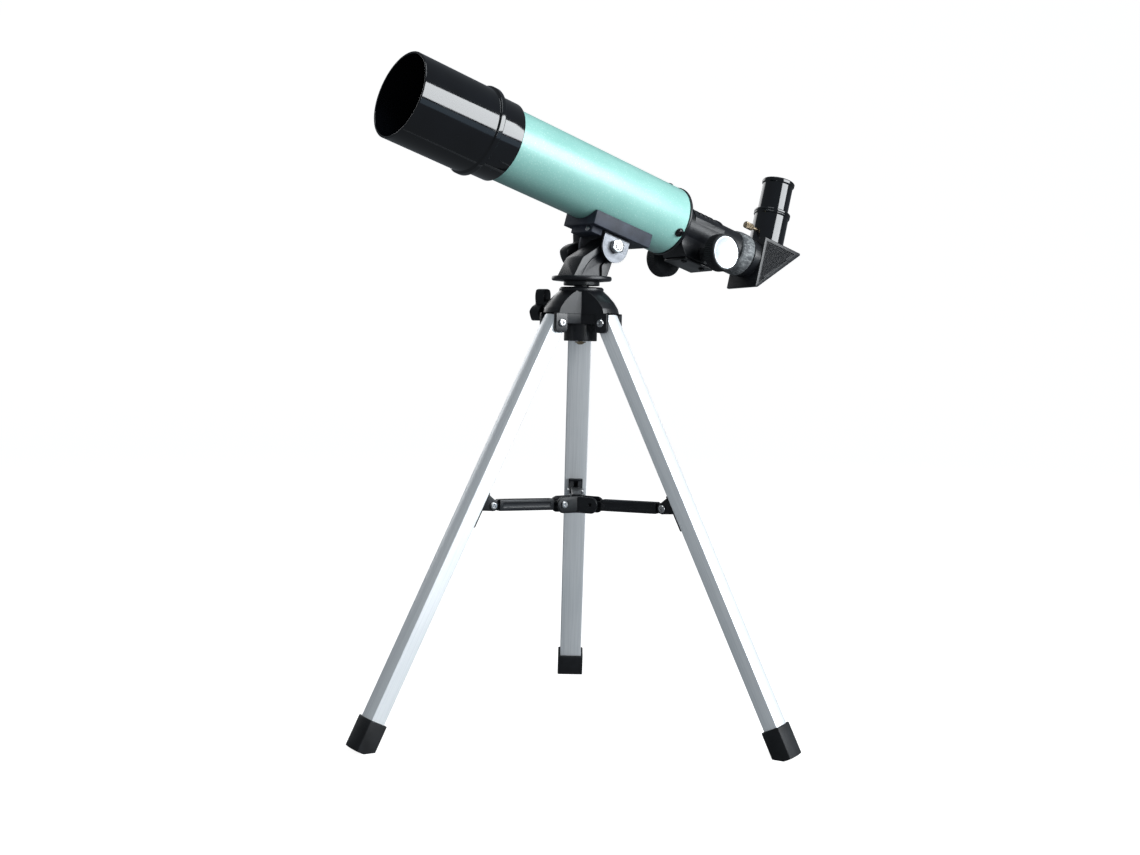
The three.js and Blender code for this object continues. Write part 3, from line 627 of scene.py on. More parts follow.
def dull_brass():
    made = Finish("dull_brass", srgb(136, 120, 96), 0.4, metallic=0.9)
    tarnish = made.noise(400, 4, 0.65)
    made.colour(made.mix(made.remap(tarnish, 0.35, 0.65), srgb(188, 172, 146), srgb(128, 114, 94)))
    made.roughness(made.remap(tarnish, 0.3, 0.7, 0.3, 0.5))
    made.rounded_edges(0.0002)
    made.bump(made.noise(2600, 2), 0.000008)
    return made.done()


def scuffed_collar():
    made = Finish("scuffed_collar", srgb(60, 63, 66), 0.55, metallic=0.25)
    scuffs = made.noise(420, 6, 0.75, (0.45, 1, 1), distortion=0.6)
    patches = made.noise(110, 3, 0.6)
    dull = made.mix(made.remap(patches, 0.35, 0.65), srgb(46, 49, 53), srgb(96, 100, 102))
    made.colour(made.mix(made.remap(scuffs, 0.48, 0.68), dull, srgb(152, 155, 156)))
    made.roughness(made.remap(scuffs, 0.3, 0.7, 0.42, 0.72))
    made.rounded_edges(0.0003)
    made.bump(scuffs, 0.00006)
    return made.done()


def optical_glass():
    made = Finish("optical_glass", srgb(236, 244, 246), 0.02, ior=1.52, transmission_weight=1.0)
    tint = made.remap(made.noise(40, 2), 0.3, 0.7)
    made.colour(made.mix(tint, srgb(226, 240, 240), srgb(236, 240, 250)))
    made.roughness(made.remap(made.noise(900, 3), 0.55, 0.8, 0.01, 0.05))
    return made.done()


for build in (satin_black, gloss_black, teal_paint, leg_aluminium, black_rubber, slate_plastic, zinc_sheet,
              bright_screws, black_screws, silver_disc, dull_brass, scuffed_collar, optical_glass):
    MATERIALS[build.__name__] = build()


# ------------------------------------------------------------------ tripod
def pin_head(base, top, radius, socket):
    """Outline of a domed pin head with a blind socket; base and top along the pin."""
    rise = top - base
    return [(base, 0), (base, radius), (base + rise * 0.55, radius, abs(rise) * 0.3), (top, radius * 0.74, 0.3),
            (top, socket + 0.15), (top - rise * 0.15, socket), (top - rise * 0.8, socket * 0.8),
            (top - rise * 0.8, 0)]


ARMS = (90, 210, 330)


def three_arms(half, reach):
    """Outline of three arms that meet on the tripod's axis."""
    inner = half / math.sin(math.radians(60))
    outline = []
    for azimuth in ARMS:
        turn = Matrix.Rotation(math.radians(azimuth), 2)
        for x, y in ((reach, -half), (reach, half), (inner * 0.5, half)):
            outline.append(tuple(turn @ Vector((x, y))))
    return outline


def hinge_slot():
    r, slot = HUB["slot_r"], HUB["slot_half"]
    x, z = HINGE
    roof = HUB["rim_z"] + 0.6
    start = math.degrees(math.asin((roof - z) / r))
    outline = [(45, 300), (45, roof), *arc(x, z, r, start, 180, 24), (x - r, 300)]
    return prism(outline, -slot, slot)


def tripod_hub():
    arm, rim_z, cheek_z = HUB["arm_half"] + 0.03, HUB["rim_z"], HUB["cheek_z"]
    dome = turned("z", [(rim_z, 0), (rim_z, HUB["rim"], 0.5), (335.4, 29.5, 6), (340.4, 26.4, 8), (345.6, 21.8, 8),
                        (350, 16.9), (350, 0)], 128)
    upper = common(dome, prism(three_arms(arm, 40), rim_z - 1, 352, 0, "z"))
    lower = prism(three_arms(arm - 0.63, 30), HUB["skirt_z"], rim_z + 0.5, 0.5, "z")
    cheeks = [spun(prism([(19.6, rim_z + 0.4), (19.6, cheek_z, 3.2), (30.4, cheek_z, 3.2), (30.4, rim_z + 0.4)],
                         -arm + 0.05, arm - 0.05, 0.6), azimuth) for azimuth in ARMS]
    post = turned("z", [(POST["z"], 0), (POST["z"], POST["r"], 0.6), (349.3, POST["r"]), (349.3, 0)], 120)
    collar = turned("z", [(348.6, 0), (348.6, 16.9), (349.6, 17.8, 0.5), (351.2, 17.8, 0.7), (POST["top_z"], 16.6, 0.4),
                          (POST["top_z"], 0)], 116)
    boss = spun(rod("x", 5.5, 9, 21, (0, 0, LOCK["z"]), 0.4), LOCK["azimuth"])
    body = join(post, lower, *cheeks, boss)
    body = join(join(body, upper), collar)
    for azimuth in ARMS:
        hole = rod("y", 2.3, -20, 20, (HINGE[0], 0, HINGE[1]))
        body = cut(body, spun(hinge_slot(), azimuth), spun(hole, azimuth))
    bore = turned("z", [(300, 0), (300, 2.8), (POST["floor_z"], 2.8), (POST["floor_z"], POST["bore"]),
                        (360, POST["bore"]), (360, 0)], 96)
    lock_hole = spun(rod("x", 2.8, 0, 30, (0, 0, LOCK["z"])), LOCK["azimuth"])
    return cut(cut(body, bore), lock_hole)


def pan_lock_knob():
    lobes = lobed_knob(LOCK["lobe"], LOCK["face"], LOCK["back"], 1.6)
    dish = turned("z", [(LOCK["back"] - 0.7, 0), (LOCK["back"] - 0.7, 5.2, 0.5), (LOCK["back"] + 2, 6), (LOCK["back"] + 2, 0)])
    collar = turned("z", [(LOCK["collar"], 0), (LOCK["collar"], 6, 0.5), (LOCK["face"] + 1, 6.6), (LOCK["face"] + 1, 0)])
    stud = rod("z", 2.5, LOCK["inner"], LOCK["collar"] + 1)
    return spun(join(cut(lobes, dish), collar, stud), 60)


def leg_tube():
    outer = prism(leg_section(LEG["inner"], LEG["outer"], LEG["crown"], LEG["half"], 0.8),
                  LEG["bottom"], LEG["top"], along="z")
    wall = LEG["wall"]
    inner = prism(leg_section(LEG["inner"] + wall, LEG["outer"] - 0.4, LEG["crown"] - wall, LEG["half"] - wall, 0.4),
                  LEG["bottom"] - 5, LEG["top"] + 5, along="z")
    pin_hole = rod("y", 2.3, -15, 15)
    screw_hole = rod("x", 1.5, -10, 0, (0, 0, BRACKET["screw_z"]))
    return cut(outer, inner, pin_hole, screw_hole)


def leg_hinge_pin():
    y = HUB["arm_half"] + GAP
    ends = [turned("y", pin_head(side * y, side * (y + 1.6), 3.1, 1.2), 48) for side in (1, -1)]
    return join(rod("y", 2, -y - 0.25, y + 0.25), *ends)


def foot_cap():
    outside = prism(leg_section(CAP["inner"], CAP["outer"], CAP["crown"], CAP["half"], 1.5),
                    CAP["bottom"], CAP["top"], 0.7, "z")
    pocket = prism(leg_section(LEG["inner"] - GAP, LEG["outer"] + GAP, LEG["crown"] + GAP, LEG["half"] + GAP, 0.8),
                   CAP["floor"], CAP["top"] + 5, along="z")
    ground = block((-400, 400), (-60, 60), (-60, 0))
    moved(ground, Matrix.Rotation(LEG_SLOPE, 4, "Y") @ Matrix.Translation((-HINGE[0], 0, -HINGE[1])))
    return cut(outside, pocket, ground)


PIVOT_ON_LEG = Matrix.Rotation(LEG_SLOPE, 4, "Y") @ Vector((OUTER_PIVOT[0] - HINGE[0], 0, OUTER_PIVOT[1] - HINGE[1]))
BRACKET = dict(face=LEG["inner"] - GAP, back=LEG["inner"] - GAP - 2.4, half=6.0, top=PIVOT_ON_LEG.z + 7.5,
               bottom=PIVOT_ON_LEG.z - 22, screw_z=PIVOT_ON_LEG.z - 17)


def leg_bracket():
    x, z, back = PIVOT_ON_LEG.x, PIVOT_ON_LEG.z, BRACKET["back"]
    plate = block((back, BRACKET["face"]), (-BRACKET["half"], BRACKET["half"]), (BRACKET["bottom"], BRACKET["top"]), 0.6)
    cheeks = prism([(back + 1, z + 6.5), *arc(x, z, 4.4, 100, 260, 14), (back + 1, z - 8)], -5, 5, 0.5)
    slot = block((x - 10, back), (-2, 2), (z - 14, z + 12))
    pin_hole = rod("y", 1.8, -10, 10, (x, 0, z))
    screw_hole = rod("x", 1.5, -20, 0, (0, 0, BRACKET["screw_z"]))
    return cut(join(plate, cheeks), slot, pin_hole, screw_hole)


def bracket_screw():
    under, at = BRACKET["back"] - GAP, (0, 0, BRACKET["screw_z"])
    shank = rod("x", 1.2, under - 0.5, LEG["inner"] + 3, at)
    return join(shank, screw_head("x", 2.7, under, under - 1.4, at))


def outer_pin():
    at = (PIVOT_ON_LEG.x, 0, PIVOT_ON_LEG.z)
    y = 5 + GAP
    ends = [turned("y", pin_head(side * y, side * (y + 1.5), 2.9, 1.1), 48, at) for side in (1, -1)]
    return join(rod("y", 1.5, -y - 0.25, y + 0.25, at), *ends)


STRUT_LENGTH = math.hypot(OUTER_PIVOT[0] - INNER_PIVOT[0], OUTER_PIVOT[1] - INNER_PIVOT[1])


def strut():
    """Along x from the outer pivot at zero to the inner pivot."""
    inner, half, tall = -STRUT_LENGTH, 4.0, 9.0
    ends = (inner + 7.8, -6.2)
    bar = block(ends, (-half, half), (-tall / 2, tall / 2), 0.6)
    inner_tongue = prism([(ends[0] + 2, 2.5), *arc(inner, 0, 2.5, 90, 270, 12), (ends[0] + 2, -2.5)], -1.5, 1.5, 0.3)
    outer_tongue = prism([(ends[1] - 2, -4), *arc(0, 0, 4, -90, 90, 14), (ends[1] - 2, 4)], -1.5, 1.5, 0.3)
    channel = block((ends[0] + 4, ends[1] - 4), (-half + 1.6, half - 1.6), (-tall, -tall / 2 + 5.5), 0.3)
    panels = [block((ends[0] + 3.2, ends[1] - 3.2), (side * half - 0.35, side * half + 0.35), (-1.9, 2.1), 0.3)
              for side in (1, -1)]
    holes = [rod("y", 1.8, -5, 5), rod("y", 1.4, -5, 5, (inner, 0, 0))]
    return cut(join(bar, inner_tongue, outer_tongue), channel, *panels, *holes)


def spreader_spider():
    r, z = INNER_PIVOT
    half, slot = 6.6, 4.4
    arms = [spun(prism([(0, z - 7), (r + 2.5, z - 7, 3.5), *arc(r, z, 6, -10, 90, 10), (0, z + 6)], -half, half, 0.6),
                 azimuth) for azimuth in (90, 210, 330)]
    web = turned("z", [(z - 7, 0), (z - 7, 8, 0.6), (z - 5, 8), (z - 5, 0)])
    slots = []
    for azimuth in (90, 210, 330):
        for cutter in (block((-3, r + 12), (-slot, slot), (z - 5, z + 12)), block((8, r + 12), (-slot, slot), (z - 12, z)),
                       rod("y", 1.6, -8, 8, (r, 0, z))):
            slots.append(spun(cutter, azimuth))
    return cut(join(web, *arms), *slots)


def spider_pin():
    y, at = 6.6 + GAP, (INNER_PIVOT[0], 0, INNER_PIVOT[1])
    return join(rod("y", 1.3, 4.6, y + 0.25, at), turned("y", pin_head(y, y + 1.5, 2.9, 1.1), 48, at))


place("tripod_hub", tripod_hub(), TRIPOD)
place("pan_lock_knob", pan_lock_knob(),
      TRIPOD @ Matrix.Rotation(math.radians(LOCK["azimuth"]), 4, "Z") @ Matrix.Translation((0, 0, LOCK["z"]))
      @ Matrix.Rotation(math.radians(90), 4, "Y"))
place("spreader_spider", spreader_spider(), TRIPOD)
STRUT_SLOPE = math.atan2(OUTER_PIVOT[1] - INNER_PIVOT[1], OUTER_PIVOT[0] - INNER_PIVOT[0])
for number in (1, 2, 3):
    radial, leg = radial_frame(number), leg_frame(number)
    place(f"leg_tube_{number}", leg_tube(), leg)
    place(f"foot_cap_{number}", foot_cap(), leg)
    place(f"leg_bracket_{number}", leg_bracket(), leg)
    place(f"bracket_screw_{number}", bracket_screw(), leg)
    place(f"strut_outer_pin_{number}", outer_pin(), leg)
    place(f"leg_hinge_pin_{number}", leg_hinge_pin(), radial @ Matrix.Translation((HINGE[0], 0, HINGE[1])))
    place(f"strut_{number}", strut(), radial @ Matrix.Translation((OUTER_PIVOT[0], 0, OUTER_PIVOT[1]))
          @ Matrix.Rotation(-STRUT_SLOPE, 4, "Y"))
    place(f"spider_pin_{number}", spider_pin(), radial)


# ------------------------------------------------------------------ pan head
TILT_IN_HEAD = Matrix.Rotation(math.radians(ELEVATION), 4, "Y") @ Vector((TILT[0], 0, TILT[1])) + Vector((0, 0, AXIS_Z))


def pan_head():
    x, z = TILT_IN_HEAD.x, TILT_IN_HEAD.z
    turning = turned("z", [(313, 0), (313, 6), (353.6, 6), (353.6, 14.4, 0.5), (356.6, 14.4), (357.4, 23.2, 0.5),
                           (358.4, 24, 0.5), (360.2, 24, 0.7), (361, 23.4, 0.5), (361, 0)], 120)
    front_web = prism([(-17, 360), (-7.5, 376, 8), (8.5, 385.2, 8), (x - 4, z + 6.4, 3), (x + 4, z + 5, 2),
                       (8, 379, 6), (-2, 371, 6), (-9, 360)], -11, 11, 0.7)
    core = prism([(-15, 360), (-6, 375, 8), (10, 385.4, 8), *arc(x, z, 7, 110, -60, 16), (18, 374, 4), (13, 368, 5),
                  (15, 360)], -7.5, 7.5, 0.5)
    rear_rib = prism([(18, 360), (x + 5, z - 5.2, 1), (x + 1, z - 6.6, 1), (12.5, 370, 4), (13, 360)], -9.5, 9.5, 0.5)
    eye = rod("y", 3.3, -20, 20, (x, 0, z))
    screw_hole = rod("z", 2.2, 300, 326)
    return cut(join(turning, front_web, core, rear_rib), eye, screw_hole)


def pan_pivot_screw():
    under = POST["z"] - GAP
    washer = turned("z", [(under - 1, 0), (under - 1, 4.4, 0.3), (under, 4.4, 0.2), (under, 0)])
    return join(rod("z", 1.9, under - 0.5, 324), washer, screw_head("z", 3, under - 0.9, under - 2.4, (0, 0, 0)))


place("pan_head", pan_head(), HEAD_FRAME)
place("pan_pivot_screw", pan_pivot_screw(), HEAD_FRAME)


# ------------------------------------------------------------------ tilting cradle
def tilt_bracket():
    s, h = TILT
    half, outer, inner, top, web = (EAR[key] for key in ("half", "outer", "inner", "top", "web"))
    low = h - half - 1
    section = [(-outer, low), (-outer, top, 2.2), (outer, top, 2.2), (outer, low), (inner, low), (inner, web, 0.7),
               (-inner, web, 0.7), (-inner, low)]
    side = prism([(s - half, top + 1), *arc(s, h, half, 180, 360, 40), (s + half, top + 1)], -outer - 1, outer + 1)
    hole = rod("y", 3.3, -30, 30, (s, 0, h))
    return cut(common(prism(section, s - half - 1, s + half + 1, 0, "x"), side), hole)


def tube_saddle():
    half, top, bottom = SADDLE["half"], SADDLE["top"], SADDLE["bottom"]
    body = block((SADDLE["front"], SADDLE["rear"]), (-half, half), (bottom, top), 0.45)
    stop = block(SADDLE["block"], (-13.6, 13.6), (bottom - 5, bottom + 1), 0.45)
    cradle = rod("x", TUBE_R + GAP, -20, 100, sides=192)
    hole = rod("x", 1.5, 0, 18, (0, *SADDLE["screw"]))
    return cut(join(body, stop), cradle, hole)


def tilt_nut():
    outer = -EAR["outer"] - GAP
    at = (TILT[0], 0, TILT[1])
    corners = [(5.9 * math.cos(math.radians(60 * k)), 5.9 * math.sin(math.radians(60 * k))) for k in range(6)]
    hexagon = prism([(TILT[0] + b, TILT[1] + a) for a, b in corners], outer - 4.2, outer - 0.6)
    chamfer = turned("y", [(outer, 0), (outer, 6.4), (outer - 3.4, 6.4), (outer - 4.2, 4.8), (outer - 4.2, 0)], 96, at)
    washer = turned("y", [(outer, 0), (outer, 5.2), (outer - 0.8, 5.2), (outer - 0.8, 0)], 96, at)
    return cut(join(common(hexagon, chamfer), washer), rod("y", 3.3, -30, 0, at))


def tilt_bolt():
    outline = [(-20.6, 0), (-20.6, 2.3), (-20.1, 3)]
    thread, pitch = -19.8, 0.9
    while thread < -16.4:
        outline += [(thread, 3), (thread + pitch / 2, 2.6)]
        thread += pitch
    outline += [(-16, 3), (27, 3), (27, 0)]
    return turned("y", outline, 64, (TILT[0], 0, TILT[1]))


def tilt_clamp_knob():
    lobes = spun(lobed_knob(20, 23, 33, 1.6), 20)
    dish = turned("z", [(32.2, 0), (32.2, 7, 0.6), (35, 8), (35, 0)])
    base = EAR["outer"] + GAP
    collar = turned("z", [(base, 0), (base, 7, 0.5), (24, 7.6), (24, 0)])
    thread = rod("z", 3.3, 0, 27.5)
    return cut(join(cut(lobes, dish), collar), thread)


def saddle_screw():
    at, under = (0, *SADDLE["screw"]), SADDLE["block"][0] - GAP
    return join(rod("x", 1.2, under - 0.2, 17, at), screw_head("x", 2.2, under, under - 1.3, at))


place("tilt_bracket", tilt_bracket(), CRADLE_FRAME)
place("tube_saddle", tube_saddle(), CRADLE_FRAME)
place("saddle_screw", saddle_screw(), CRADLE_FRAME)
place("tilt_bolt", tilt_bolt(), CRADLE_FRAME)
place("tilt_nut", tilt_nut(), CRADLE_FRAME)
place("tilt_clamp_knob", tilt_clamp_knob(),
      CRADLE_FRAME @ Matrix.Translation((TILT[0], 0, TILT[1])) @ Matrix.Rotation(math.radians(-90), 4, "X"))


# ------------------------------------------------------------------ objective end
def main_tube():
    r, wall = TUBE_R, TUBE["wall"]
    front, rear = TUBE["front"], TUBE["rear"]
    return turned("x", [(front, r, 0.3), (rear, r, 0.4), (rear, r - wall, 0.2), (front, r - wall)], 192)


def tube_screw():
    """Pan head outside the tube, along z."""
    shank = rod("z", TUBE_SCREW["shank"], 24, TUBE_R + 1)
    head = screw_head("z", TUBE_SCREW["head"], TUBE_R + 0.25, TUBE_R + 2.6, (0, 0, 0), 0.75)
    return moved(join(shank, head), Matrix.Translation((TUBE_SCREW["s"], 0, 0)))


def objective_cell():
    sleeve, front, step, rear = TUBE_R + GAP, CELL["front"], CELL["step"], CELL["rear"]
    seat = TUBE["front"]
    return turned("x", [(front, CELL["spigot"]), (step, CELL["spigot"]), (step, CELL["r"]), (rear, CELL["r"], 0.5),
                        (rear, sleeve), (seat - GAP, sleeve), (seat - GAP, CELL["lip"]), (seat - 3, CELL["lip"]),
                        (seat - 3, CELL["seat"]), (front, CELL["seat"])], 192)


def objective_lens():
    back = TUBE["front"] - 3 - GAP
    return turned("x", [(back + 1.2, 0), (back + 1.05, 6), (back + 0.7, 12), (back, 23.2), (back, 25.1),
                        (back - 4, 25.1), (back - 5.3, 20), (back - 6.2, 15), (back - 7, 7), (back - 7.2, 0)], 128)


def retaining_ring():
    back = TUBE["front"] - 7.6
    return turned("x", [(back, 25.1), (back, 24), (back - 2.6, 23.4, 0.4), (back - 2.6, 25.1)], 128)


def dew_shield():
    r, front, rear, bead, step = (SHIELD[key] for key in ("r", "front", "rear", "bead", "bead_front"))
    return turned("x", [(front, r, 0.55), (step - 0.8, r, 0.4), (step, bead, 0.5), (rear, bead, 0.7),
                        (rear, SHIELD["inner"]), (front, SHIELD["inner"], 0.3)], 256)


place("main_tube", main_tube(), TUBE_FRAME)
for number in (1, 2, 3):
    place(f"tube_screw_{number}", spun(tube_screw(), 90 + TUBE_SCREW["low"] + 120 * (number - 1), "X"), TUBE_FRAME)
place("objective_cell", objective_cell(), TUBE_FRAME)
place("objective_lens", objective_lens(), TUBE_FRAME)
place("lens_retaining_ring", retaining_ring(), TUBE_FRAME)
place("dew_shield", dew_shield(), TUBE_FRAME)


# ------------------------------------------------------------------ focuser
def focuser_body():
    r, rear, bore, half, bottom = (FOCUSER[key] for key in ("r", "rear", "bore", "half", "bottom"))
    barrel = turned("x", [(80, 27.2), (91.3, 27.2), (91.3, 29.3, 0.5), (93, 29.3, 0.6), (94.4, 28.2), (96.5, 20.5, 2),
                          (99, r), (rear - 1, r), (rear, r - 1), (rear, bore), (94, bore), (90, 25.2), (80, 25.2)], 160)
    housing = prism([(100, -6), (101, -18, 2), (108, bottom, 1.5), (141, bottom, 1.5), (144, -6)], -half, half, 0.7)
    ring = turned("x", [(108, r - 1), (108, r + 1.3), (142, r + 1.3), (142, r - 1)], 160)
    frame_plate = common(ring, prism([(108, 3.5, 1.2), (142, 3.5, 1.2), (142, 30), (108, 30)], -16.6, 16.6))
    field_ring = turned("x", [(109.7, r + 0.55), (109.7, r + 3), (140.3, r + 3), (140.3, r + 0.55)], 160)
    field = common(field_ring, prism([(110.2, 5.8, 0.8), (139.8, 5.8, 0.8), (139.8, 30), (110.2, 30)], -14.6, 14.6))
    bars = [block((at, at + 0.9), (-12.4, 12.4), (8, 30)) for at in (115.4, 120.8, 126.2, 131.6)]
    raised_ring = turned("x", [(109, r), (109, r + 1.1), (141, r + 1.1), (141, r)], 160)
    ribs = [common(raised_ring, bar) for bar in bars]
    s, h = FOCUS_AXIS
    cuts = [
        rod("x", bore, 88, 200, sides=96),
        block((104, rear + 5), (-2.4, 2.4), (-18.5, -10)),
        rod("x", 24, 80, 90, sides=96),
        rod("y", 2.8, -30, 30, (s, 0, h)),
        rod("y", PINION["pocket"], -6, 6, (s, 0, h)),
        block((s - PINION["pocket"], s + PINION["pocket"]), (-6, 6), (bottom - 3, h)),
        *[rod("z", 1.5, -30, -20.5, (at, -7, 0)) for at in (113, 133.5)],
    ]
    return cut(join(cut(join(barrel, housing, frame_plate), field), *ribs), *cuts)


def pinion_cover():
    bottom = FOCUSER["bottom"] - GAP
    plate = block((109, 140.5), (-13.4, 13.4), (bottom - 2, bottom), 0.4)
    return cut(plate, *[rod("z", 1.5, -40, 0, (at, -7, 0)) for at in (113, 133.5)])


def pinion_cover_screw():
    under = FOCUSER["bottom"] - 2 - 2 * GAP
    return join(rod("z", 1.2, under - 0.3, -21), screw_head("z", 2.6, under, under - 1.2, (0, 0, 0)))


def drawtube():
    r, inner, front, rear = (DRAW[key] for key in ("r", "inner", "front", "rear"))
    tube = turned("x", [(front, r), (rear, r, 0.4), (rear, inner, 0.3), (front, inner)], 128)
    rack_bottom, pitch = DRAW["rack"], 3.0
    rack = block((106, 163), (-2, 2), (rack_bottom, -r + 0.6))
    teeth = []
    at = 108.0
    while at < 162:
        teeth.append(prism([(at - 0.2, rack_bottom - 1), (at + 0.4, rack_bottom + 0.9), (at + 1.1, rack_bottom + 0.9),
                            (at + 1.7, rack_bottom - 1)], -3, 3))
        at += pitch
    return join(tube, cut(rack, *teeth))


def drawtube_collar():
    bore, r, (front, rear) = DRAW["r"] + GAP, DRAW["collar_r"], DRAW["collar"]
    return turned("x", [(front, bore), (front, r - 1.6, 0.4), (front + 1.2, r - 0.6, 0.4), (front + 5, r, 1),
                        (rear - 1.5, r, 0.8), (rear, r - 1.5, 0.4), (rear, bore)], 128)


def focus_shaft():
    at = (FOCUS_AXIS[0], 0, FOCUS_AXIS[1])
    shaft = rod("y", 2.5, -38, 38, at, 0.4)
    pinion = turned("y", [(-5, 0), (-5, PINION["r"]), (5, PINION["r"]), (5, 0)], 96, at, (10, 0.4, -6, 6))
    return join(shaft, pinion)


def focus_knob():
    """Outwards along z, with ribs round its rim."""
    r, face, inner, disc, hub = (KNOB[key] for key in ("r", "face", "inner", "disc", "hub"))
    body = turned("z", [(15, 0), (15, hub, 0.4), (inner - 1, hub, 0.8), (inner, r - 3, 0.6), (inner + 1, r - 0.7, 0.4),
                        (inner + 1.6, r - 0.2), (inner + 2, r), (face - 1.6, r), (face - 1.2, r - 0.2),
                        (face, r - 0.8, 0.3), (face, disc + 0.2, 0.2), (face - 1.2, disc + 0.2), (face - 1.2, 0)],
                  96, ribs=(56, 0.55, inner + 1.9, face - 1.5))
    return cut(body, rod("z", 2.8, 0, 38.4))


def knob_disc():
    back, face, r = KNOB["face"] - 0.9, KNOB["face"], KNOB["disc"] - 0.2
    return turned("z", [(back, 0), (back, r), (face - 0.3, r), (face, r - 0.4), (face, 12.1), (face - 0.18, 11.8),
                        (face - 0.18, 0)], 128)


place("focuser_body", focuser_body(), TUBE_FRAME)
place("pinion_cover", pinion_cover(), TUBE_FRAME)
for number, at in ((1, 113), (2, 133.5)):
    place(f"pinion_cover_screw_{number}", pinion_cover_screw(), TUBE_FRAME @ Matrix.Translation((at, -7, 0)))
place("drawtube", drawtube(), TUBE_FRAME)
place("drawtube_collar", drawtube_collar(), TUBE_FRAME)
place("focus_shaft", focus_shaft(), TUBE_FRAME)
FOCUS_PLACE = TUBE_FRAME @ Matrix.Translation((FOCUS_AXIS[0], 0, FOCUS_AXIS[1]))
for side, quarter in (("left", 90), ("right", -90)):
    outwards = FOCUS_PLACE @ Matrix.Rotation(math.radians(quarter), 4, "X")
    place(f"focus_knob_{side}", focus_knob(), outwards)
    place(f"knob_disc_{side}", knob_disc(), outwards)


# ------------------------------------------------------------------ diagonal and eyepiece
def hatched(corner, across, down, base, rise, pitch):
    """A field of small blunt pyramids on a right triangle: corner is its square corner in x and z, and the
    triangle runs across in +x and down in -z. They stand from base to base + rise along y."""
    bm = bmesh.new()
    half = pitch / 2
    columns_wide = int(2 * across / pitch) + 2
    rows_deep = int(2 * down / pitch) + 2
    for column in range(columns_wide):
        for row in range(rows_deep):
            if (column + row) % 2:
                continue
            x, z = column * half, row * half
            inside = x >= half and z >= half and (x + half) / across + z / down < 1 and x / across + (z + half) / down < 1
            if not inside:
                continue
            rings = []
            for reach, y in ((half * 0.94, base), (half * 0.3, base + rise)):
                rings.append([bm.verts.new((corner[0] + x + reach * a, y, corner[1] - z + reach * b))
                              for a, b in ((1, 0), (0, 1), (-1, 0), (0, -1))])
            for ring in rings:
                bm.faces.new(ring)
            for k in range(4):
                bm.faces.new((rings[0][k], rings[0][k - 1], rings[1][k - 1], rings[1][k]))
    return finished(bm)


def diagonal_housing():
    front, top, rear, bottom, half = (DIAGONAL[key] for key in ("front", "top", "rear", "bottom", "half"))
    side = [(front, top, 0.6), (front, bottom, 0.6), (front + 2.6, bottom, 0.6), (rear, top - 1.9, 0.5), (rear, top, 0.5)]
    wedge = prism(side, -half, half, 0.45)
    collar = rod("x", 17.2, 181, front + 1, edge=0.5, sides=128)
    barrel = rod("x", DIAGONAL["nose"], DIAGONAL["nose_front"], front + 1, sides=96)
    panel = [(front + 3, top - 3), (front + 3, bottom + 4.2), (rear - 7, top - 3)]
    cuts = [
        prism([(191.1, 15.9), (191.1, -16.5), (223.5, 15.9)], -13.9, 13.9),
        rod("x", DIAGONAL["nose"] - 1.1, 150, 193, sides=64),
        rod("z", 11, 10, 30, (EYE_S, 0, 0), sides=64),
        prism(panel, half - 0.9, half + 2),
        prism(panel, -half - 2, -half + 0.9),
    ]
    return cut(join(wedge, collar, barrel), *cuts)


def diagonal_hatching(side):
    front, top, rear, bottom, half = (DIAGONAL[key] for key in ("front", "top", "rear", "bottom", "half"))
    corner = (front + 3.2, top - 3.2)
    field = hatched(corner, rear - 7 - corner[0], corner[1] - bottom - 4.2, half - 1.0, 0.62, 1.7)
    return moved(field, Matrix.Diagonal((1, side, 1, 1)))


def diagonal_prism():
    corner = EYE_S - 15.5
    return prism([(corner, 15.5), (corner, -15.5), (EYE_S + 15.5, 15.5)], -13.5, 13.5, 0.25)


def eyepiece_holder():
    bottom, top, r, bead, bore = (HOLDER[key] for key in ("bottom", "top", "r", "bead", "bore"))
    tube = turned("z", [(bottom, bore), (bottom, r), (top - 4.6, r, 0.5), (top - 4.1, bead - 0.2, 0.5),
                        (top - 3.2, bead, 0.4), (top - 2.5, bead - 0.5, 0.2), (top - 1.9, bead, 0.4),
                        (top - 0.6, bead, 0.5), (top, bead - 0.6, 0.3), (top, bore)], 128, (EYE_S, 0, 0))
    return cut(tube, rod("x", 1.7, -25, 0, (EYE_S, 0, THUMB["h"])))


def thumbscrew():
    at, end, base = (EYE_S, 0, THUMB["h"]), -THUMB["end"], -THUMB["head"]
    shank = rod("x", 1.4, base - 1, -THUMB["tip"], at)
    head = turned("x", [(end, 0), (end, 2.4, 0.2), (end + 0.5, 3), (base - 0.6, 3), (base, 2.4, 0.2), (base, 0)],
                  96, at, (22, 0.4, end + 0.3, base - 0.4))
    return join(shank, head)


def eyepiece_body():
    bottom, shoulder, top, r = (EYEPIECE[key] for key in ("bottom", "shoulder", "top", "r"))
    rim, barrel, hollow = (EYEPIECE[key] for key in ("rim", "barrel", "hollow"))
    return turned("z", [(bottom, hollow), (bottom, barrel, 0.4), (shoulder, barrel), (shoulder, r, 0.5),
                        (top - 4.2, r, 0.6), (top - 3.2, rim - 0.2, 0.6), (top - 0.8, rim, 0.6), (top, rim - 0.8, 0.4),
                        (top, 8.4, 0.6), (top - 3.4, 7.4, 0.5), (top - 3.4, hollow)], 128, (EYE_S, 0, 0))


def eyepiece_lens():
    seat = EYEPIECE["top"] - 3.4 - GAP
    return turned("z", [(seat - 4.5, 0), (seat - 4.5, 10.2), (seat - 1.6, 10.2), (seat - 0.9, 8), (seat - 0.35, 5),
                        (seat - 0.1, 2.5), (seat, 0)], 96, (EYE_S, 0, 0))


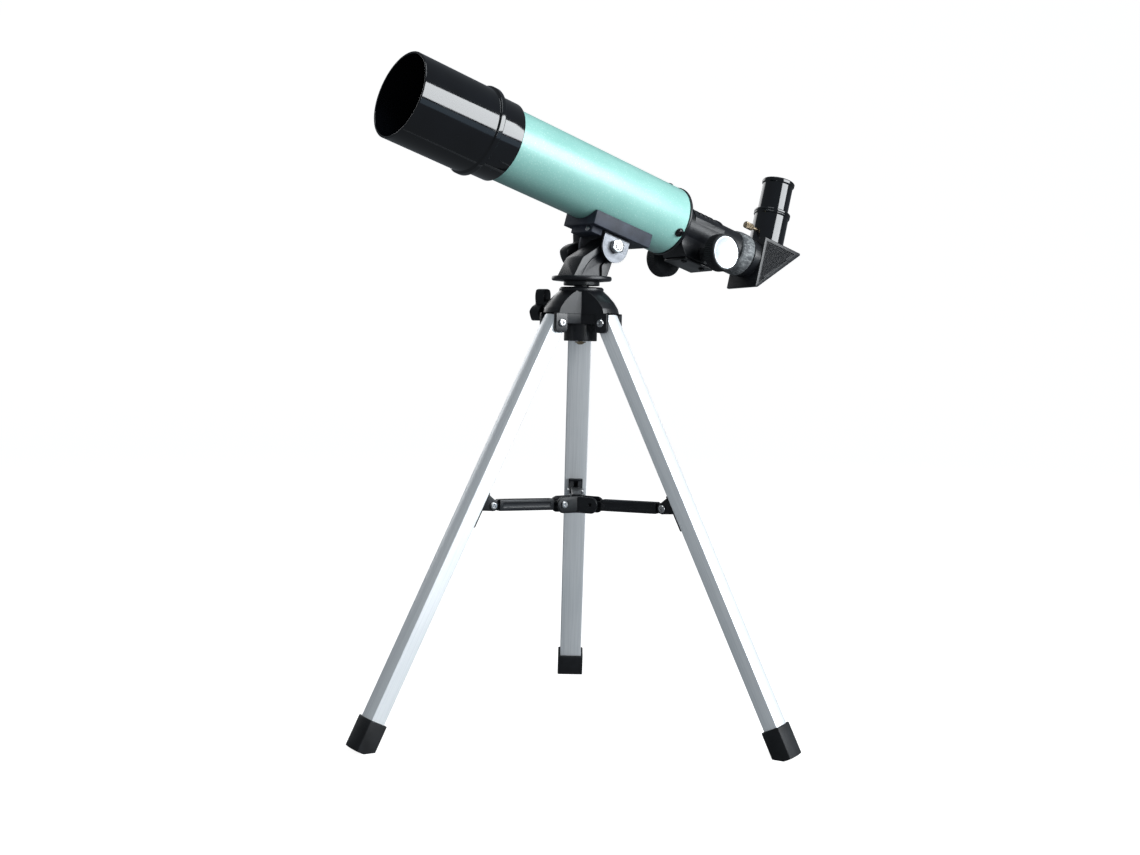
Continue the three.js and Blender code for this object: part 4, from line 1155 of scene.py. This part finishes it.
place("diagonal_housing", diagonal_housing(), TUBE_FRAME)
for side, way in (("far", 1), ("near", -1)):
    place("diagonal_housing", diagonal_hatching(way), TUBE_FRAME, f"diagonal_hatching_{side}", covers=False)
place("diagonal_prism", diagonal_prism(), TUBE_FRAME)
place("eyepiece_holder", eyepiece_holder(), TUBE_FRAME)
place("eyepiece_thumbscrew", thumbscrew(), TUBE_FRAME)
place("eyepiece_body", eyepiece_body(), TUBE_FRAME)
place("eyepiece_lens", eyepiece_lens(), TUBE_FRAME)


# ------------------------------------------------------------------ floor, light and camera
def stage_material():
    """Bright floor: it glows, and a share of it is plain white so that the feet still shade it."""
    made = bpy.data.materials.new("stage_white")
    made.use_nodes = True
    shader = made.node_tree.nodes["Principled BSDF"]
    shader.inputs["Base Color"].default_value = (0.35, 0.35, 0.35, 1)
    shader.inputs["Roughness"].default_value = 0.9
    shader.inputs["Specular IOR Level"].default_value = 0.0
    shader.inputs["Emission Color"].default_value = (1, 1, 1, 1)
    shader.inputs["Emission Strength"].default_value = 0.93
    return made


def bowl():
    """A round floor that curves up into a low wall far from the object."""
    flat, curve, steps = 3.0, 2.0, 12
    outline = [(0.0, 0.0), (flat, 0.0)]
    for k in range(1, steps + 1):
        angle = math.radians(90 * k / steps)
        outline.append((flat + curve * math.sin(angle), curve - curve * math.cos(angle)))
    bm = bmesh.new()
    sides = 96
    rings = [[bm.verts.new((0, 0, 0))]]
    for r, z in outline[1:]:
        rings.append([bm.verts.new((r * math.cos(2 * math.pi * k / sides), r * math.sin(2 * math.pi * k / sides), z))
                      for k in range(sides)])
    for first, second in zip(rings, rings[1:]):
        for k in range(sides):
            after = (k + 1) % sides
            corners = [first[k % len(first)], second[k], second[after], first[after % len(first)]]
            bm.faces.new(list(dict.fromkeys(corners)))
    mesh = bpy.data.meshes.new("floor")
    bm.to_mesh(mesh)
    bm.free()
    mesh.shade_smooth()
    mesh.materials.append(stage_material())
    floor = bpy.data.objects.new("floor", mesh)
    bpy.context.scene.collection.objects.link(floor)
    floor.visible_glossy = False
    floor.visible_diffuse = False


def softbox(name, place_at, aim, size, power, tint=(1, 1, 1), mirrored=True):
    """A rectangular lamp; place_at and aim are metres from the tripod's foot. One that isn't mirrored
    lights the object but doesn't show in glossy surfaces."""
    light = bpy.data.lights.new(name, "AREA")
    light.shape = "RECTANGLE"
    light.size, light.size_y = size
    light.energy = power
    light.color = tint
    lamp = bpy.data.objects.new(name, light)
    lamp.location = TRIPOD_AXIS + Vector(place_at)
    lamp.rotation_euler = (Vector(aim) - Vector(place_at)).to_track_quat("-Z", "Y").to_euler()
    lamp.visible_glossy = mirrored
    bpy.context.scene.collection.objects.link(lamp)


def camera():
    yaw, pitch, roll = (math.radians(a) for a in (-0.72, 3.35, 1.18))
    forward = Vector((-math.sin(yaw) * math.cos(pitch), math.cos(yaw) * math.cos(pitch), -math.sin(pitch)))
    right = Vector((math.cos(yaw), math.sin(yaw), 0))
    up = right.cross(forward)
    tilted_right = right * math.cos(roll) + up * math.sin(roll)
    tilted_up = up * math.cos(roll) - right * math.sin(roll)
    data = bpy.data.cameras.new("camera")
    data.lens, data.sensor_width = 47.49, 36.0
    data.clip_start, data.clip_end = 0.05, 50.0
    made = bpy.data.objects.new("camera", data)
    made.matrix_world = Matrix((tilted_right, tilted_up, -forward)).transposed().to_4x4()
    made.location = TRIPOD_AXIS + Vector((-21.97, -1204.8, 310.6)) * MM
    bpy.context.scene.collection.objects.link(made)
    bpy.context.scene.camera = made


bowl()
softbox("window", (1.1, -0.57, 0.76), (0, 0, 0.42), (1.0, 0.75), 24, (0.94, 0.975, 1.0))
softbox("window_glow", (1.15, -0.64, 0.16), (0, 0, 0.3), (1.0, 0.3), 0.5, (0.55, 0.78, 1.0))
softbox("strip", (0.95, -1.3, 0.5), (0.15, 0.1, 0.45), (0.2, 0.6), 3, (0.94, 0.975, 1.0))
softbox("low_side", (1.3, -0.5, 0.15), (0, 0, 0.12), (0.8, 0.5), 5, mirrored=False)
softbox("top", (0.0, -0.4, 1.5), (0, 0, 0.3), (0.8, 0.7), 6, (0.9, 0.96, 1.0))
softbox("back", (-0.9, 1.7, 0.9), (0, 0, 0.3), (1.4, 1.0), 9)
softbox("left", (-1.6, 0.1, 0.7), (0, 0, 0.25), (1.0, 1.0), 3, mirrored=False)
softbox("front", (0.2, -2.2, 0.5), (0, 0, 0.25), (1.6, 1.2), 8, mirrored=False)
world = bpy.data.worlds.new("studio")
world.use_nodes = True
world.node_tree.nodes["Background"].inputs["Color"].default_value = (0.82, 0.91, 1.0, 1)
world.node_tree.nodes["Background"].inputs["Strength"].default_value = 0.17
bpy.context.scene.world = world
bpy.context.scene.view_settings.view_transform = "Standard"
camera()

bpy.context.view_layer.update()
